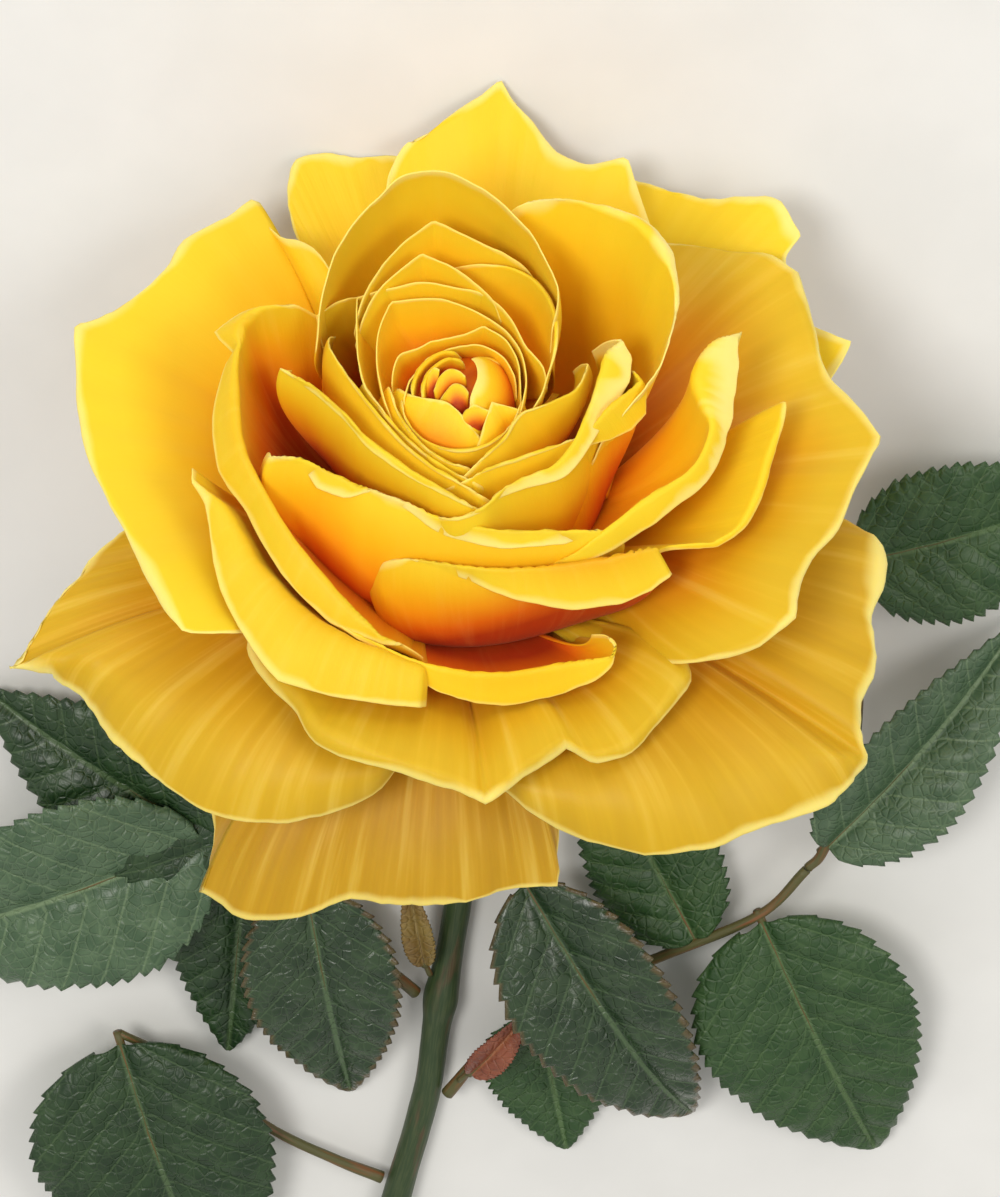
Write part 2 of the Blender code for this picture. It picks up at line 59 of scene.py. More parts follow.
# Petals hung from a fold line. Each row of it is azimuth, radius, height and, where the margin has turned
# out beyond the fold, how far out and how far down it then lies. A fourth or sixth number, 1, marks a tip.
# name, foot (radius, height, share of the span), slope at the foot and at the fold, finish, fold line
# finish: wave, crease, width of the pale margin (partly the petal's paler edge, partly a painted highlight on
# the rolled lip), reach of the yellow below it in mm (deeper lies the petal's own orange under painted depth
# shade), shade 0..1 (darkening to ochre: partly the petal's own colour, partly painted shade)
FOLDED = (
    ("guard_left", (4, 1, .6), (26, -8), (1.9, .16, (2.6, 2.2, 1.8, 1.2, 1), 66, .68),
     ((184, 40, 14), (188, 47, 14.5, .4, .4), (192, 53, 13.6, .4, .4), (198, 62, 12, .8, .8),
      (202, 67, 11, .6, .6), (204, 71, 10, 1), (206, 64, 11.8, .4, 2.6, 1), (209, 58.7, 12.2, 4.4, 6),
      (217, 54.6, 13, 8.3, 7), (225, 51.4, 13.5, 10.5, 7.5), (235, 50.6, 13.7, 9.7, 7.7),
      (244, 50.5, 13.7, 7.7, 7.3), (252, 49.5, 13.5, 4, 6), (258, 47, 13, 1, 4), (262, 43, 13, .4, 2))),
    ("guard_back", (4, 0, .6), (24, -58), (1.9, .18, 1.2, 72, .9),
     ((222, 46, -2), (228, 54, -8), (231, 57, -12), (233, 64.5, -15, 1), (236, 64, -15), (240, 64, -15),
      (248, 60, -14), (253, 57, -12), (261, 56, -11.5), (270, 55, -10.5), (279, 54.5, -10),
      (285, 55, -10.5, 1), (286, 52, -8), (288, 49, -5), (290, 42, -1))),
    ("guard_right", (4, 1, .6), (26, -6), (1.9, .16, (1, 1.2, 2, 3, 2), 66, .7),
     ((270, 42, 13), (276, 48, 14, 2, 3), (285, 52, 14, 5, 6), (294, 54.5, 14, 7.7, 6.8),
      (303, 56.3, 13.8, 10.2, 6.8), (312, 59.5, 13.4, 10.5, 6.4), (317, 63, 13.2, 9.5, 6.2),
      (321, 69.5, 12, 3.3, 4.4), (323, 72, 9.5, .4, 1, 1), (325, 68, 13, 1.5, 2), (329, 66, 13.5, 1.6, 1.6),
      (334, 65.5, 14, 1.6, 1.4), (340, 62, 14.5, 1.5, 1.4), (346, 61.5, 15, 1.2, 1.2), (350, 60, 15, 1, 1),
      (352, 57.5, 15, .8, .8), (353, 53, 15, .4, .4), (352, 46, 14))),
    ("outer_right_behind", (4, 2, .5), (22, 20), (.8, .03, 1.8, 70, 0),
     ((-8, 38, 18), (2, 50, 22.5), (12, 55.5, 24.4), (17, 60, 25.5, 1), (21, 56.5, 25), (28, 54, 24),
      (36, 49, 22), (42, 40, 19))),
    ("outer_right", (4, 2, .5), (31, 18), (1, .03, 1.6, 36, .48),
     ((-54, 30, 12), (-50, 42, 17.5), (-47, 49, 23), (-44, 52, 26, .4, .3), (-41, 54.6, 28.6, .8, .5),
      (-36, 57.3, 31.6, .3, .2, 1), (-32, 54.8, 31.2, .8, .6), (-26, 54, 31, .8, .6), (-20, 56, 31.6, .8, .6),
      (-11, 57.3, 32.1, .8, .6), (-4, 60.4, 32.6, .2, .2, 1), (0, 57.4, 32.2, .8, .6),
      (8, 53.4, 30.8, .8, .6), (20, 53, 30.8, .8, .6), (28, 55.2, 30.9, .3, .3, 1), (32, 53.6, 30.9, .8, .6),
      (37, 51, 30, .8, .6), (43, 48.2, 28.8, .6, .5), (49, 46, 27.2), (55, 40, 24))),
    ("outer_top_right", (4, 2, .5), (25, 24), (.8, .03, 2.2, 75, 0),
     ((18, 42, 22), (26, 52, 26.6), (30, 56, 28.1), (32.5, 56.8, 28.4), (34, 60.6, 30.3, 1),
      (36, 60.8, 30.6), (38, 61.4, 30.8, 1), (40, 60.8, 30.8, .4, .3), (45, 57.6, 29.6, .8, .5),
      (50, 54.8, 28.2, .8, .5), (57, 53.4, 27.5, .8, .5), (67, 52.4, 27, .8, .5), (75, 48, 24.6))),
    ("outer_top_left", (4, 2, .5), (24, 24), (.4, .03, 1.8, 75, 0),
     ((90, 46, 23.5), (98, 51.6, 26.4), (108, 53.2, 27.6, .4, .3), (113, 55, 27.9, .4, .3),
      (116, 55.2, 28, .4, .3), (118.5, 53, 26.8, .4, .3), (120.5, 50, 25, .4, .3), (122, 45.6, 22.6),
      (123, 38, 19.5))),
    ("outer_left", (4, 2, .5), (33, 18), (1, .03, 1.8, 60, 0),
     ((124, 28, 27), (124.6, 33, 30), (125.6, 40, 30.4), (127.6, 42.2, 30, 1), (127, 45.6, 28.6),
      (126.5, 51, 29.5, 1), (131, 50.4, 29.7, .6, .4), (136, 50.8, 29.8, .6, .4),
      (141, 51.4, 30, .6, .4), (146.5, 50.4, 29.6, .4, .3, 1), (150, 51, 30, .6, .4), (156, 53, 30.8, .6, .4),
      (161, 55.2, 31.4, .3, .3), (164, 57.7, 32.3, 1), (168, 56, 32, .6, .5), (175, 54.3, 31.4, .8, .6),
      (188, 52, 30.5, .8, .6), (201, 49.5, 29.4, .8, .6), (210, 49.2, 29.3, .8, .6),
      (217, 50.2, 29.4, .4, .4), (223, 51.8, 29.7, 1), (226, 48, 28), (231, 40, 24))),
    ("outer_top", (4, 2, .5), (37, 32), (1, .03, 2, 70, 0),
     ((43, 36, 24.5), (46, 43, 27.8), (51, 45, 29.4), (56, 47.8, 31.4), (61, 51.4, 34, 1),
      (64, 49.3, 33.2, .5, .4), (69, 48, 32.6, .8, .6), (73, 48.4, 32.8, .8, .6), (78, 51.7, 34.9, .5, .4),
      (84, 57.3, 38, 1), (86.5, 54.8, 36.6, .4, .3), (90, 52.8, 35.4, .6, .4), (95, 50.8, 34, .6, .4),
      (99, 49.5, 33.2), (103, 46, 31), (106, 40, 27.5), (108, 34, 24))),
    ("back_tall", (12, 9, .6), (64, 100), (.3, .02, 1.4, 80, 0),
     ((20, 14, 38), (28, 15, 43), (33, 17, 47.4), (57, 20, 51), (74, 22, 53.3), (89, 24.6, 55),
      (99, 26.1, 55.3), (108, 26, 55), (118, 25, 53), (132, 23.7, 51), (148, 22, 48), (158, 21, 45),
      (166, 20.4, 41))),
    ("apron", (8, 0, .5), (22, 8), (.9, .06, 1.4, 40, .55),
     ((222, 38, 19), (229, 43.5, 20.4, .4, .4), (235, 44.6, 20.4, 1, 1.2), (241, 45, 20.4, 1.3, 1.5),
      (246, 48, 20.3, 1.6, 1.8), (255, 49.4, 20.2, 1.8, 1.8), (267, 51.5, 20, 1.8, 1.8),
      (272, 53.4, 19.2, 1.4, 1.3), (274, 55.6, 17.9, .2, .2, 1), (278, 52.6, 19.8, 1.4, 1.6),
      (284, 49.8, 20.2, 1.5, 1.8), (288, 48.5, 20, 1.2, 1.5, 1), (290.5, 51.4, 19.9, 1.6, 1.7),
      (296, 52.2, 19.9, 1.6, 1.7), (302, 50.6, 20.2, 1.6, 1.7), (308, 48.4, 20.4, 1.5, 1.7),
      (312.6, 47.2, 20.2, 1, 1.2), (314, 45.4, 19.8, .6, .6), (311.5, 41.5, 18.3, .2, .2), (305.6, 37, 16.6),
      (300, 33, 15))),
    ("collar_low", (9, 5, .55), (34, 62), (.4, .03, 1.2, 40, .2),
     ((198, 39, 36), (201, 39.9, 36.4, 1), (205, 37.5, 34.5, 1.5, .5), (221, 36.6, 31, 7, 1.5),
      (239, 37.4, 28, 10.5, 1.5), (246, 37.4, 27, 8.5, 2.5), (263, 38, 24.5, 5, 2.5, 1),
      (264, 37.5, 22, 4, 2))),
    ("collar_inner_low", (22, 9, .7), (50, 84), (.3, .02, .8, 18, 0),
     ((236, 35.5, 28), (240, 36.2, 28), (253, 36.8, 26.5, .5, 1), (266, 37.8, 24.5, 2, 3),
      (279, 38.6, 23.5, 2.5, 4.5), (291, 39.8, 24.2, 2, 4), (297, 41, 24.6, 1.8, 2.6),
      (301, 41.8, 25.2, .8, 1), (302.5, 40.8, 25.4, .2, .2), (302, 39, 25), (300.5, 37, 23.6))),
    ("collar_left", (14, 9.6, .65), (46, 86), (.3, .02, 1, 23, .2),
     ((150, 23, 40), (157, 26, 44.4), (163, 30, 44, 2.5, 1), (167, 30.6, 43.2, 5, 2.6, 1),
      (171, 31, 42.5, 1.2, 2.2), (186, 31, 40, 3.6, 3.6), (199, 31.4, 38, 4, 3.5), (210, 31.1, 36, 3.2, 3),
      (226, 31.7, 33, 4, 2.6), (241, 33.5, 30, 3.3, 2.4), (253, 36, 27.4, .5, 1.2, 1), (257, 35.5, 25.5),
      (262, 35, 22))),
    ("collar_wide", (12, 7.6, .6), (34, 42), (.4, .02, .7, 42, 0),
     ((300, 31, 24), (312, 33, 28), (322, 35.6, 30.4, .4, .6), (329, 41.6, 31.6, .8, .8, 1),
      (333, 43.4, 32.2, .8, .8), (342, 44.2, 33.2, .8, .8), (349, 44.4, 34.2, .8, .8),
      (355, 45.6, 35.3, .4, .4), (359, 46.5, 36.2, 1), (360.5, 44.6, 33), (362, 42, 28))),
    # collar_right's broad pale margin high up is a painted highlight on its rolled lip, over its paler edge
    ("collar_right", (15, 10, .65), (50, 86), (.3, .02, (.5, .6, .8, 2.5, 6, 8, 8), 50, 0),
     ((290, 25, 26), (297, 27.6, 30.4), (304, 29.4, 33.4, 1, 2), (311, 30.2, 35.4, 1.6, 2.8),
      (324, 31.5, 37, 2.5, 3), (331, 33.3, 37.6, 2, 2.8), (337, 35.2, 38, 2, 2.8), (344, 36, 38.8, 2.2, 2.8),
      (349.5, 35.9, 39.6, 2.3, 2.6), (352.5, 34.4, 40.1, 4.4, 2.2, 1), (359, 32.8, 41, 6.4, 2),
      (364, 33.8, 41.6, 6, 1.4), (368, 36, 42.2, 4, .8), (369.6, 40.5, 42.6, 1), (370.6, 39.6, 39),
      (371.4, 38, 34))),
    ("bowl_front", (25.6, 11.8, .7), (40, 118), (.3, .02, 1.2, 16, .1),
     ((240, 24.5, 24), (245, 24.5, 27.4), (254, 24.4, 30.2, 0, .3), (263, 24.6, 31, .3, .6),
      (274, 25.8, 31.5, .8, 2), (286, 27.3, 31.5, 2.5, 3.5), (299, 29.5, 31.5, 4.5, 4.5),
      (308, 32, 32, 4.5, 5), (314.5, 34.5, 33, 4, 4.6), (319, 36.8, 34, 3, 3.6, 1), (318, 34, 30),
      (316, 31, 26))),
    ("back_wide", (21, 12.5, .7), (72, 78), (.5, .06, 3, 80, 0),
     ((-26, 21.5, 34), (-20, 22.4, 38), (-6, 26.2, 42), (4, 29.4, 46), (14, 31.4, 49, .6, .5),
      (25, 31.8, 51.5, 1.4, 1), (36, 31, 52.5, 1.8, 1.2), (48, 28.3, 53, 1.6, 1.2), (58, 26.4, 53, 1, .8),
      (66, 24.8, 52), (72, 24, 49.5), (78, 23.8, 46))),
    ("cup_front", (25.3, 15, .8), (75, 120), (.2, .02, 1.8, 25, 0),
     ((197, 28, 34), (203, 28.5, 38.4), (206, 28.9, 40, 0, .2, 1), (211, 24.6, 38.9, .6, 1.2),
      (218, 22.8, 38, 2, 2.2), (227, 21.2, 37.2, 1.6, 1.8), (233, 20.2, 37, .2, .4, 1),
      (249, 19.8, 37, .5, .7), (264, 20.7, 36, 1, 2), (284, 23.2, 36, 1.6, 2), (302, 26.8, 36.2, 1.2, 1.6),
      (311, 30, 36.2, .2, .4, 1), (315, 30, 33.5), (320, 30, 30))),
    ("cup_left", (15, 15, .8), (75, 108), (.2, .02, .9, 20, 0),
     ((170, 24, 37), (177, 24.6, 41), (181, 24.8, 44, 0, .2, 1), (187, 20.8, 43, .6, .8),
      (200, 17.4, 42, .6, .8), (221, 16.2, 41, .6, .8), (247, 16.4, 40, .6, .8), (263, 18.1, 40, .6, .7),
      (275, 20.2, 39, .3, .3), (281, 20, 36.4), (286, 18.8, 33))),
    ("cup_right", (19.5, 11, .9), (86, 106), (.2, .02, (.8, .8, 1.5, 3, 4.5, 5), 42, 0),
     ((246, 18, 31), (254, 19, 33.5), (262, 20.5, 36), (270, 21.6, 37.8, .2, .3), (279, 21, 39, .4, .6),
      (289, 18.8, 39, .6, .9), (299, 18.2, 39, 1, 1.1), (316, 19.4, 39.4, 1.6, 1.6),
      (332, 19.3, 40.9, 1.8, 1.8), (343, 19.3, 41.6, 2.2, 1.8), (350, 19.5, 42.1, 3, 1.8),
      (358, 20, 42.9, 4.2, 1.4), (365, 20.8, 43.6, 3.8, .8), (370, 23.4, 44.6, 1), (373, 22, 43),
      (378, 20, 39))),
    ("tongue", (20.5, 12, .8), (80, 95), (.2, .02, .8, 30, 0),
     ((316, 18.6, 33), (325, 19.6, 37.6), (332, 20, 39.4, .6, 1.4), (339, 20.8, 40.8, 2, 3.4),
      (346, 22, 41.3, 3.2, 4.4), (352, 23.8, 41.7, 3, 4.2), (357, 25.7, 42, .8, 1.6, 1), (362, 24.6, 41.4),
      (368, 23, 37))),
)
# the heart, from the outside in: foot radius as a share of the rim's, slope at the foot and at the fold,
# pale margin (partly painted highlight) and reach of the yellow in mm (below it orange under painted depth
# shade), fold line
HEART = (
    (.5, 30, 86, .8, 20, ((44, 18.4, 38), (52, 18.9, 42), (60, 19, 44.8), (70, 19, 46.4), (81, 19.5, 47.2),
      (99, 22.5, 48.4, 1), (114, 20.4, 47), (133, 18.2, 45), (142, 17.5, 43.5), (150, 17, 40))),
    (.5, 30, 86, .7, 18, ((58, 11.6, 41), (66, 12.4, 43.6), (76, 13.2, 45), (92, 15.6, 45.8),
      (106, 18.5, 46.4, 1), (118, 17.4, 45.8), (134, 16.8, 44.5), (146, 16.4, 42), (154, 16.2, 39))),
    (.5, 30, 88, .8, 18, ((-30, 10.8, 36.5), (-23, 11.4, 39.6), (-14, 12.2, 41.2), (-5, 12.5, 42),
      (17, 14.3, 43, .3, .2), (36, 16.5, 44, .5, .4), (53, 18, 44.6, .4, .4), (66, 17.9, 45, .2, .2),
      (80, 17.2, 45), (92, 17.6, 43.2), (102, 18.2, 41))),
    (.5, 30, 88, .7, 16, ((-4, 12.6, 40), (3, 12.2, 41.8), (25, 10.6, 42.4), (54, 11.6, 43.5), (74, 12.9, 44),
      (92, 13.5, 44.2), (110, 15, 44.5), (126, 16.6, 44), (139, 19, 43.2, 1), (150, 16.6, 42.6),
      (168, 14.4, 41.8), (188, 12.9, 41, .2, .2), (206, 11.7, 40.4), (216, 11.4, 38), (224, 11.2, 35))),
    (.5, 30, 92, .7, 14, ((-32, 10, 38), (-22, 9.9, 40.6), (-4, 9.6, 41.4), (15, 9.5, 42), (50, 9.9, 42.4),
      (80, 10.7, 43), (104, 12.6, 43.2), (129, 15.2, 43, 1), (146, 13.4, 42.2), (172, 11.4, 41.2),
      (198, 10.8, 40.4), (210, 10.6, 38), (218, 10.4, 35))),
    (.8, 60, 88, .6, 18, ((118, 18.5, 37), (126, 19, 39.6), (133, 19.8, 40.8), (140, 20.8, 41.6),
      (147, 22, 41.5), (151.5, 22.8, 41, 1), (154, 22, 39.5), (158, 20.5, 36))),
    (1, 70, 112, .6, 16, ((152, 19.8, 38), (160, 19.4, 41.2), (166, 18.6, 42, 0, .2, 1),
      (178, 15.8, 41.6, .2, .2), (198, 13, 40.8, .4, .4), (228, 12.4, 40, .4, .4), (256, 14.2, 39.2, .3, .4),
      (271, 16.4, 39, .2, .2), (281, 18.6, 38), (287, 18.2, 35), (293, 17.4, 32))),
    (1, 70, 114, .5, 14, ((176, 13.4, 37), (184, 13.2, 40.4), (190, 12.6, 40.6), (208, 11.5, 40, .3, .3),
      (240, 11.7, 39.1, .3, .4), (264, 13.9, 38.7, .2, .3), (279, 16.2, 38.2), (285, 15.8, 35.4),
      (291, 15, 32))),
    (1, 70, 108, .6, 16, ((252, 15.2, 31), (260, 16, 35), (268, 16.4, 38), (276, 15.9, 38.9),
      (288, 14.6, 39.1, .3, .4), (303, 15, 39.4, .3, .5), (317, 16.4, 39.6, .3, .4), (331, 19.6, 40, 1),
      (337, 19.4, 38), (344, 19.4, 34))),
    (1, 70, 112, .7, 14, ((254, 14, 31), (263, 15, 35.4), (272, 15.2, 38), (280, 13.8, 38.8),
      (290, 12.3, 39.1, .2, .3), (307, 11.1, 39.6, .3, .4), (320, 10.4, 40, .2, .3),
      (330, 10.6, 40.2, .2, .2), (337, 12, 40.5, .2, .2), (344, 13.8, 40.7, .2, .2),
      (353, 16.6, 41.1, .2, .2), (365, 18.4, 42, 1), (370, 17.8, 40), (376, 17, 36))),
    (1, 70, 118, .5, 12, ((178, 10, 37), (186, 9.7, 40), (210, 9.6, 39.6, .2, .2), (240, 10.7, 39, .3, .3),
      (262, 12.5, 38.6, .2, .3), (276, 13.4, 38), (283, 13.2, 35.4), (289, 12.6, 32.5))),
    (.7, 50, 92, .4, 9, ((-18, 9.4, 38), (-10, 9, 40.6), (12, 8.7, 41.5), (41, 8.9, 42),
      (66, 8.9, 42.2, 1), (84, 6.9, 41.9), (104, 6.3, 42), (124, 6.7, 42.1, 1), (139, 7.3, 41.6),
      (156, 8.9, 41.5), (174, 9.2, 40.6), (184, 9.2, 37.5))),
    (1, 70, 118, .4, 9, ((190, 8.4, 36.5), (199, 8.3, 39.2), (219, 9.2, 39, .2, .2), (240, 9.8, 38.6, .3, .3),
      (262, 10.2, 38.2, .3, .3), (284, 10.3, 38.2, .3, .3), (304, 10.2, 38.5, .2, .2), (324, 9.8, 39),
      (340, 9.4, 39.3), (350, 9.2, 36.5))),
    (.8, 60, 94, .3, 7, ((-8, 8.4, 38), (2, 8, 40.4), (34, 7.1, 41.2), (57, 6.2, 41.4),
      (84, 5.2, 41.6, 1), (112, 4.8, 41.4), (144, 5.4, 41.2, 1), (164, 5.8, 40.8),
      (182, 6.8, 40.7, 1), (200, 8, 39.8), (208, 8.2, 37))),
    # this petal's wide pale margin is partly a painted highlight on its folded-over lip
    (1.7, 92, 150, 1.5, 9, ((-80, 8.6, 36.6), (-76, 7.6, 38.6), (-71, 5.6, 40.2), (-62, 4, 41.4),
      (-44, 3.3, 42), (-20, 3, 42.3), (10, 2.8, 42.5), (34, 2.9, 42.5), (50, 3, 42.3, 1),
      (42, 5.2, 40.6), (34, 6.6, 39.2), (30, 7.4, 37.5))),
    (1.6, 92, 148, .6, 9, ((174, 8.6, 37), (186, 7.9, 39), (200, 6.8, 40), (214, 5.8, 40.6), (230, 4.8, 40.9),
      (250, 4.5, 40.9), (269, 5.2, 40.4), (283, 7, 39.4), (292, 8.6, 37.6))),
    (1.25, 92, 134, .4, 5, ((276, 6.4, 38.6), (284, 5.6, 40.2), (294, 5.2, 41), (304, 5.8, 40.6),
      (312, 7.2, 39))),
    (1.3, 92, 138, .6, 8, ((282, 9.8, 36), (290, 9, 37.8), (299, 7.7, 39.2), (309, 6.9, 40.2),
      (319, 6.4, 40.9, 1), (326, 7.8, 40.4), (334, 9.4, 39.2), (342, 10.2, 37))),
    (.9, 76, 84, .3, 4, ((84, 4.4, 39.8), (96, 4, 41.3, .3, .2), (116, 4, 42, .6, .6), (140, 4.4, 42, .7, .7),
      (164, 5.1, 41.6, .7, .7), (186, 6, 41, .5, .5), (202, 6.7, 40, .2, .2), (208, 6.8, 38.6))),
    (.9, 76, 84, .3, 4, ((70, 2.8, 40.2), (86, 2.5, 41.6, .3, .2), (112, 2.5, 42.2, .6, .6),
      (144, 2.9, 42.2, .7, .7), (172, 3.8, 41.8, .7, .7), (196, 4.8, 41.2, .5, .5), (210, 5.5, 40.3, .2, .2),
      (216, 5.6, 39))),
)
HEART_DEPTH = (5, .45)  # mm from foot to rim: at the axis, and more for each mm of radius
HEART_SPAN = .8  # share of the rim's span that the foot has
HEART_SHAPE = (.1, .01)  # wave and crease in mm
# closed middle under the innermost petals: radius and height, and what the material reads there; its colour
# is the deep orange-red of the petal ramp, painted shade in the gaps between the curls
CORE = ((0, 26), (6, 26), (8.4, 31), (8.2, 35), (6.8, 37.6), (4.6, 39), (2.6, 39.6), (1, 39.9), (0, 39.9))
CORE_SIDES = 48
CORE_SHARE, CORE_MARGIN, CORE_ORANGE_AND_SHADE = .5, 9.0, .25
# the innermost petals: margin, line where each goes under the next (x, y, z) and swell of the face
CURLS = (
    (((-4.4, -.8, 41), (-3.9, .4, 41.8), (-3.2, .85, 42.2), (-2.6, .5, 42.2)),
     ((-4.2, -2, 38.6), (-3.2, -2.3, 38.8)), .5),
    (((-3.3, -1.9, 40.6), (-2.4, -.3, 41.8), (-1.2, .5, 42.3), (.2, .2, 42.3), (1, -.4, 42)),
     ((-2.9, -2.8, 39), (-1.7, -1.9, 40), (-.2, -1.2, 40.2), (1.2, -1, 40.2)), .6),
    (((-2.5, -3.1, 39.8), (-1.7, -2.4, 40.8), (-.4, -1.5, 41.6), (.8, -1.9, 41.6), (1.5, -2.7, 41.2)),
     ((-1.5, -4, 38.4), (-.2, -4.9, 38.4), (1.3, -4.2, 38.6)), .8),
    (((.5, -6.2, 39.6), (1.2, -5.2, 40.4), (2.6, -4.8, 40.6), (4.3, -5.2, 40.4)),
     ((1, -6.8, 38), (2.1, -7.2, 37.6), (3.8, -6.4, 37.8)), .9),
)
CURL_GRID = (26, 16)
# the curls reach little yellow, so they turn orange-red quickly: partly their own colour, partly painted
# shade between them
CURL_FINISH = (0, 0, .25, 2.6, 0)
TO_VIEW = (0, -.54, .84)  # from the bloom towards the camera, in its own frame

# ---- how a petal's surface runs
BODY_STEPS, LIP_STEPS = 41, 17
HANDLE, LIP_HANDLE = 0.38, 0.45  # handles of its curves, as shares of the body's and the lip's length
CROWDING = 1.3  # over 1, rows crowd towards the margin
FOLD_STRAY = (0.12, 9)  # mm that the fold line strays up and down, mm of it to a swing
SLOW_WAVE, QUICK_WAVE = (0.7, 0.7), (0.35, 2.2)  # share of the wave, swings
CREASES, CREASE_START = 8, 1.4
CREASE_STRAY = (0.03, 1.5)  # how far creases stray sideways, swings

# ---- calyx: outline of the hip by radius and height, and a sepal's fold line about its own middle
HIP = ((0, -13), (1.8, -13), (2.6, -12.4), (2.7, -11.4), (3.2, -10.4), (4.4, -9), (5.4, -7.4), (5.9, -5.6),
       (5.9, -4), (5.4, -2.6), (4.6, -1.4), (2, -.2), (0, 0))
HIP_SIDES, SEPALS = 40, 5
FIRST_SEPAL = 54  # degrees
SEPAL = ((-42, 7, -2), (-30, 11, -1.6), (-17, 17, -2.6), (-8, 23, -6), (0, 28.5, -10.5, 1), (8, 23, -6),
         (17, 17, -2.6), (30, 11, -1.6), (42, 7, -2))
SEPAL_FOOT, SEPAL_SLOPES = (3.4, -3, 1), (8, -20)
SEPAL_FINISH = (0.4, 0.12, 0, 0, 0)
SEPAL_GRID, SEPAL_THICK, SEPAL_SEED = (40, 30), 0.6, 700

# ---- stem: centre line and radius, to the cut end
STEM = (
    (0, -11.6, 24.7, 2.0), (0, -26, 16.6, 2.0), (0, -42, 9.6, 2.1), (0, -58, 5, 2.1), (-.5, -76, 2.9, 2.2),
    (-2.4, -90, 2.6, 2.3), (-3.8, -98, 3, 2.9), (-4.6, -104, 2.5, 2.4), (-6.5, -118, 2.4, 2.3),
    (-11, -136, 2.45, 2.4), (-14, -148, 2.5, 2.45), (-15.4, -158, 2.5, 2.45), (-15.6, -168, 2.5, 2.45),
)
# the cut's rings: share of the radius, mm that it stands out
CUT_RINGS = ((.05, .03), (.3, .035), (.62, .03), (.9, .015), (.98, 0.0))
CUT_DEPTH = 0.3  # mm that the cut's disc goes into the stem
# tubes: sides, steps between knots, relief as a share of the radius; the stem's also has a seed
STEM_TUBE, STALK_TUBE, RIB_TUBE = (28, 14, 0.03, 5), (14, 10, 0.05), (10, 8, 0.04)
RELIEF_SWINGS, RELIEF_LENGTH = 0.4, 9

# ---- leaves: stalk points (x, y, z, radius), then leaflets
# leaflet: base x, y, z, heading, length, width, pitch at even stations, fold, kind
LEAVES = {
    "leaf_left": (
        ((-8, -97, 3.6, 1.1), (-16, -87, 6.5, .9), (-25, -75, 8.5, .9), (-34, -68, 9, .8),
         (-42, -63.6, 9, .7)),
        ((-41, -64, 9, 204, 60, 38, (8, -2, -14, -25), 14, "sheen"),
         (-25.5, -73, 8.6, -82, 47, 29, (4, -4, -16, -24), 16, "gloss"),
         (-35, -67, 8.6, -96, 43, 26, (-20, -12, -4, 2), 10, "dark"),
         (-26, -73, 8.4, 128, 44, 27, (2, -4, -14, -22), 12, "dark"),
         (-35, -67, 8.8, 148, 50, 30, (4, -4, -14, -22), 12, "dark"))),
    "leaf_low": (
        ((-14.1, -134.2, 3.2, 1.1), (-22, -130, 3.8, .9), (-33, -124, 3.2, .8), (-46, -112, 3.4, .8),
         (-57, -103, 6.6, .7)),
        ((-57, -104, 7, -76, 57, 44, (10, -1, -12, -22), 10, "dark"),)),
    "leaf_front": (
        ((2.7, -72, 4.4, 1.0), (6.5, -70.5, 8, .8), (10, -72, 9.6, .7)),
        ((9.6, -71.5, 9.6, -60, 60, 31, (12, 4, -14, -38), 24, "gloss"),)),
    "leaf_right": (
        ((-2.9, -116.7, 4, 1.1), (4, -107, 5, .9), (15, -97.5, 4.6, .9), (32, -89, 5.5, .9),
         (48, -79, 8.6, .8), (55.4, -70.2, 9, .8)),
        ((48.2, -79.5, 8.6, -67, 56, 40, (4, -4, -13, -22), 12, "soft"),
         (38, -85.3, 6.4, 118, 40, 24, (-12, -8, -4, 0), 8, "soft"),
         (12, -99.8, 4.6, -80, 30, 24, (-10, -8, -3, 0), 8, "soft"))),
    "leaf_far": (
        ((55.6, -69.9, 9, .8), (58, -66.6, 9, .8), (61.5, -55, 8.5, .8), (62.6, -38, 8, .8),
         (60.5, -14, 8.4, .7)),
        ((58.2, -66.2, 9, 52, 50, 26, (8, 0, -14, -26), 30, "sheen"),
         (60.5, -15, 8.4, 15, 42, 30, (6, -3, -14, -24), 12, "soft"))),
    "young_leaf": (
        ((-.9, -112.6, 6.2, .5), (2.4, -108, 8.6, .5)),
        ((1, -110, 8, 56, 17, 7.5, (24, 14, 4, -8), 26, "young"),)),
    "bract": (
        ((-5.6, -92.8, 4.7, .5), (-6.8, -88, 6.8, .5)),
        ((-6.4, -90, 6, 98, 19, 6.5, (22, 12, 6, -4), 30, "bract"),)),
}
LEAF_SEED = 900
LEAF_THICK = 0.4  # mm
LEAF_ACROSS, LEAF_ALONG = 28, 110  # steps across, points along
LEAF_SPAN = (0.012, 0.995)
LEAF_SWELL, LEAF_TAPER, LEAF_PEAK = 0.5, 0.92, 0.42  # powers of the outline, and its height for width 1
LEAF_NARROWEST = 0.25  # mm
LEAF_CROWDING = 0.85  # under 1, columns crowd towards the margins
LEAF_LIFT = 0.6  # mm, keeps drooping margins off the floor
TEETH = 21
TOOTH, TOOTH_SHARE = 1.3, 0.08  # mm at most, and share of the width at most
TOOTH_POWER, TOOTH_LEAN = 9, 0.5
STAGGER, VEIN_STAGGER = 0.15, 0.25  # teeth and veins that each side is moved along
VEINS = 8
VEIN_LEAN = 0.8  # how far a side vein runs forward for each mm outwards
QUILT, QUILT_WIDTH = 0.8, 32  # mm that the blade swells between veins, on a blade this wide
GROOVE = (0.5, 0.7)  # mm deep and half wide, over the midrib
DROOP = 0.10  # of the margin, as a share of the half width
RUFFLE, FRILL = (0.05, 3, 1.6), (0.012, 6, 5)  # share of half the width, power outwards, swings
MIDRIB_STEP, MIDRIB_OVERRUN = 0.1, 1.4  # mm, and share of the length that it is worked out for
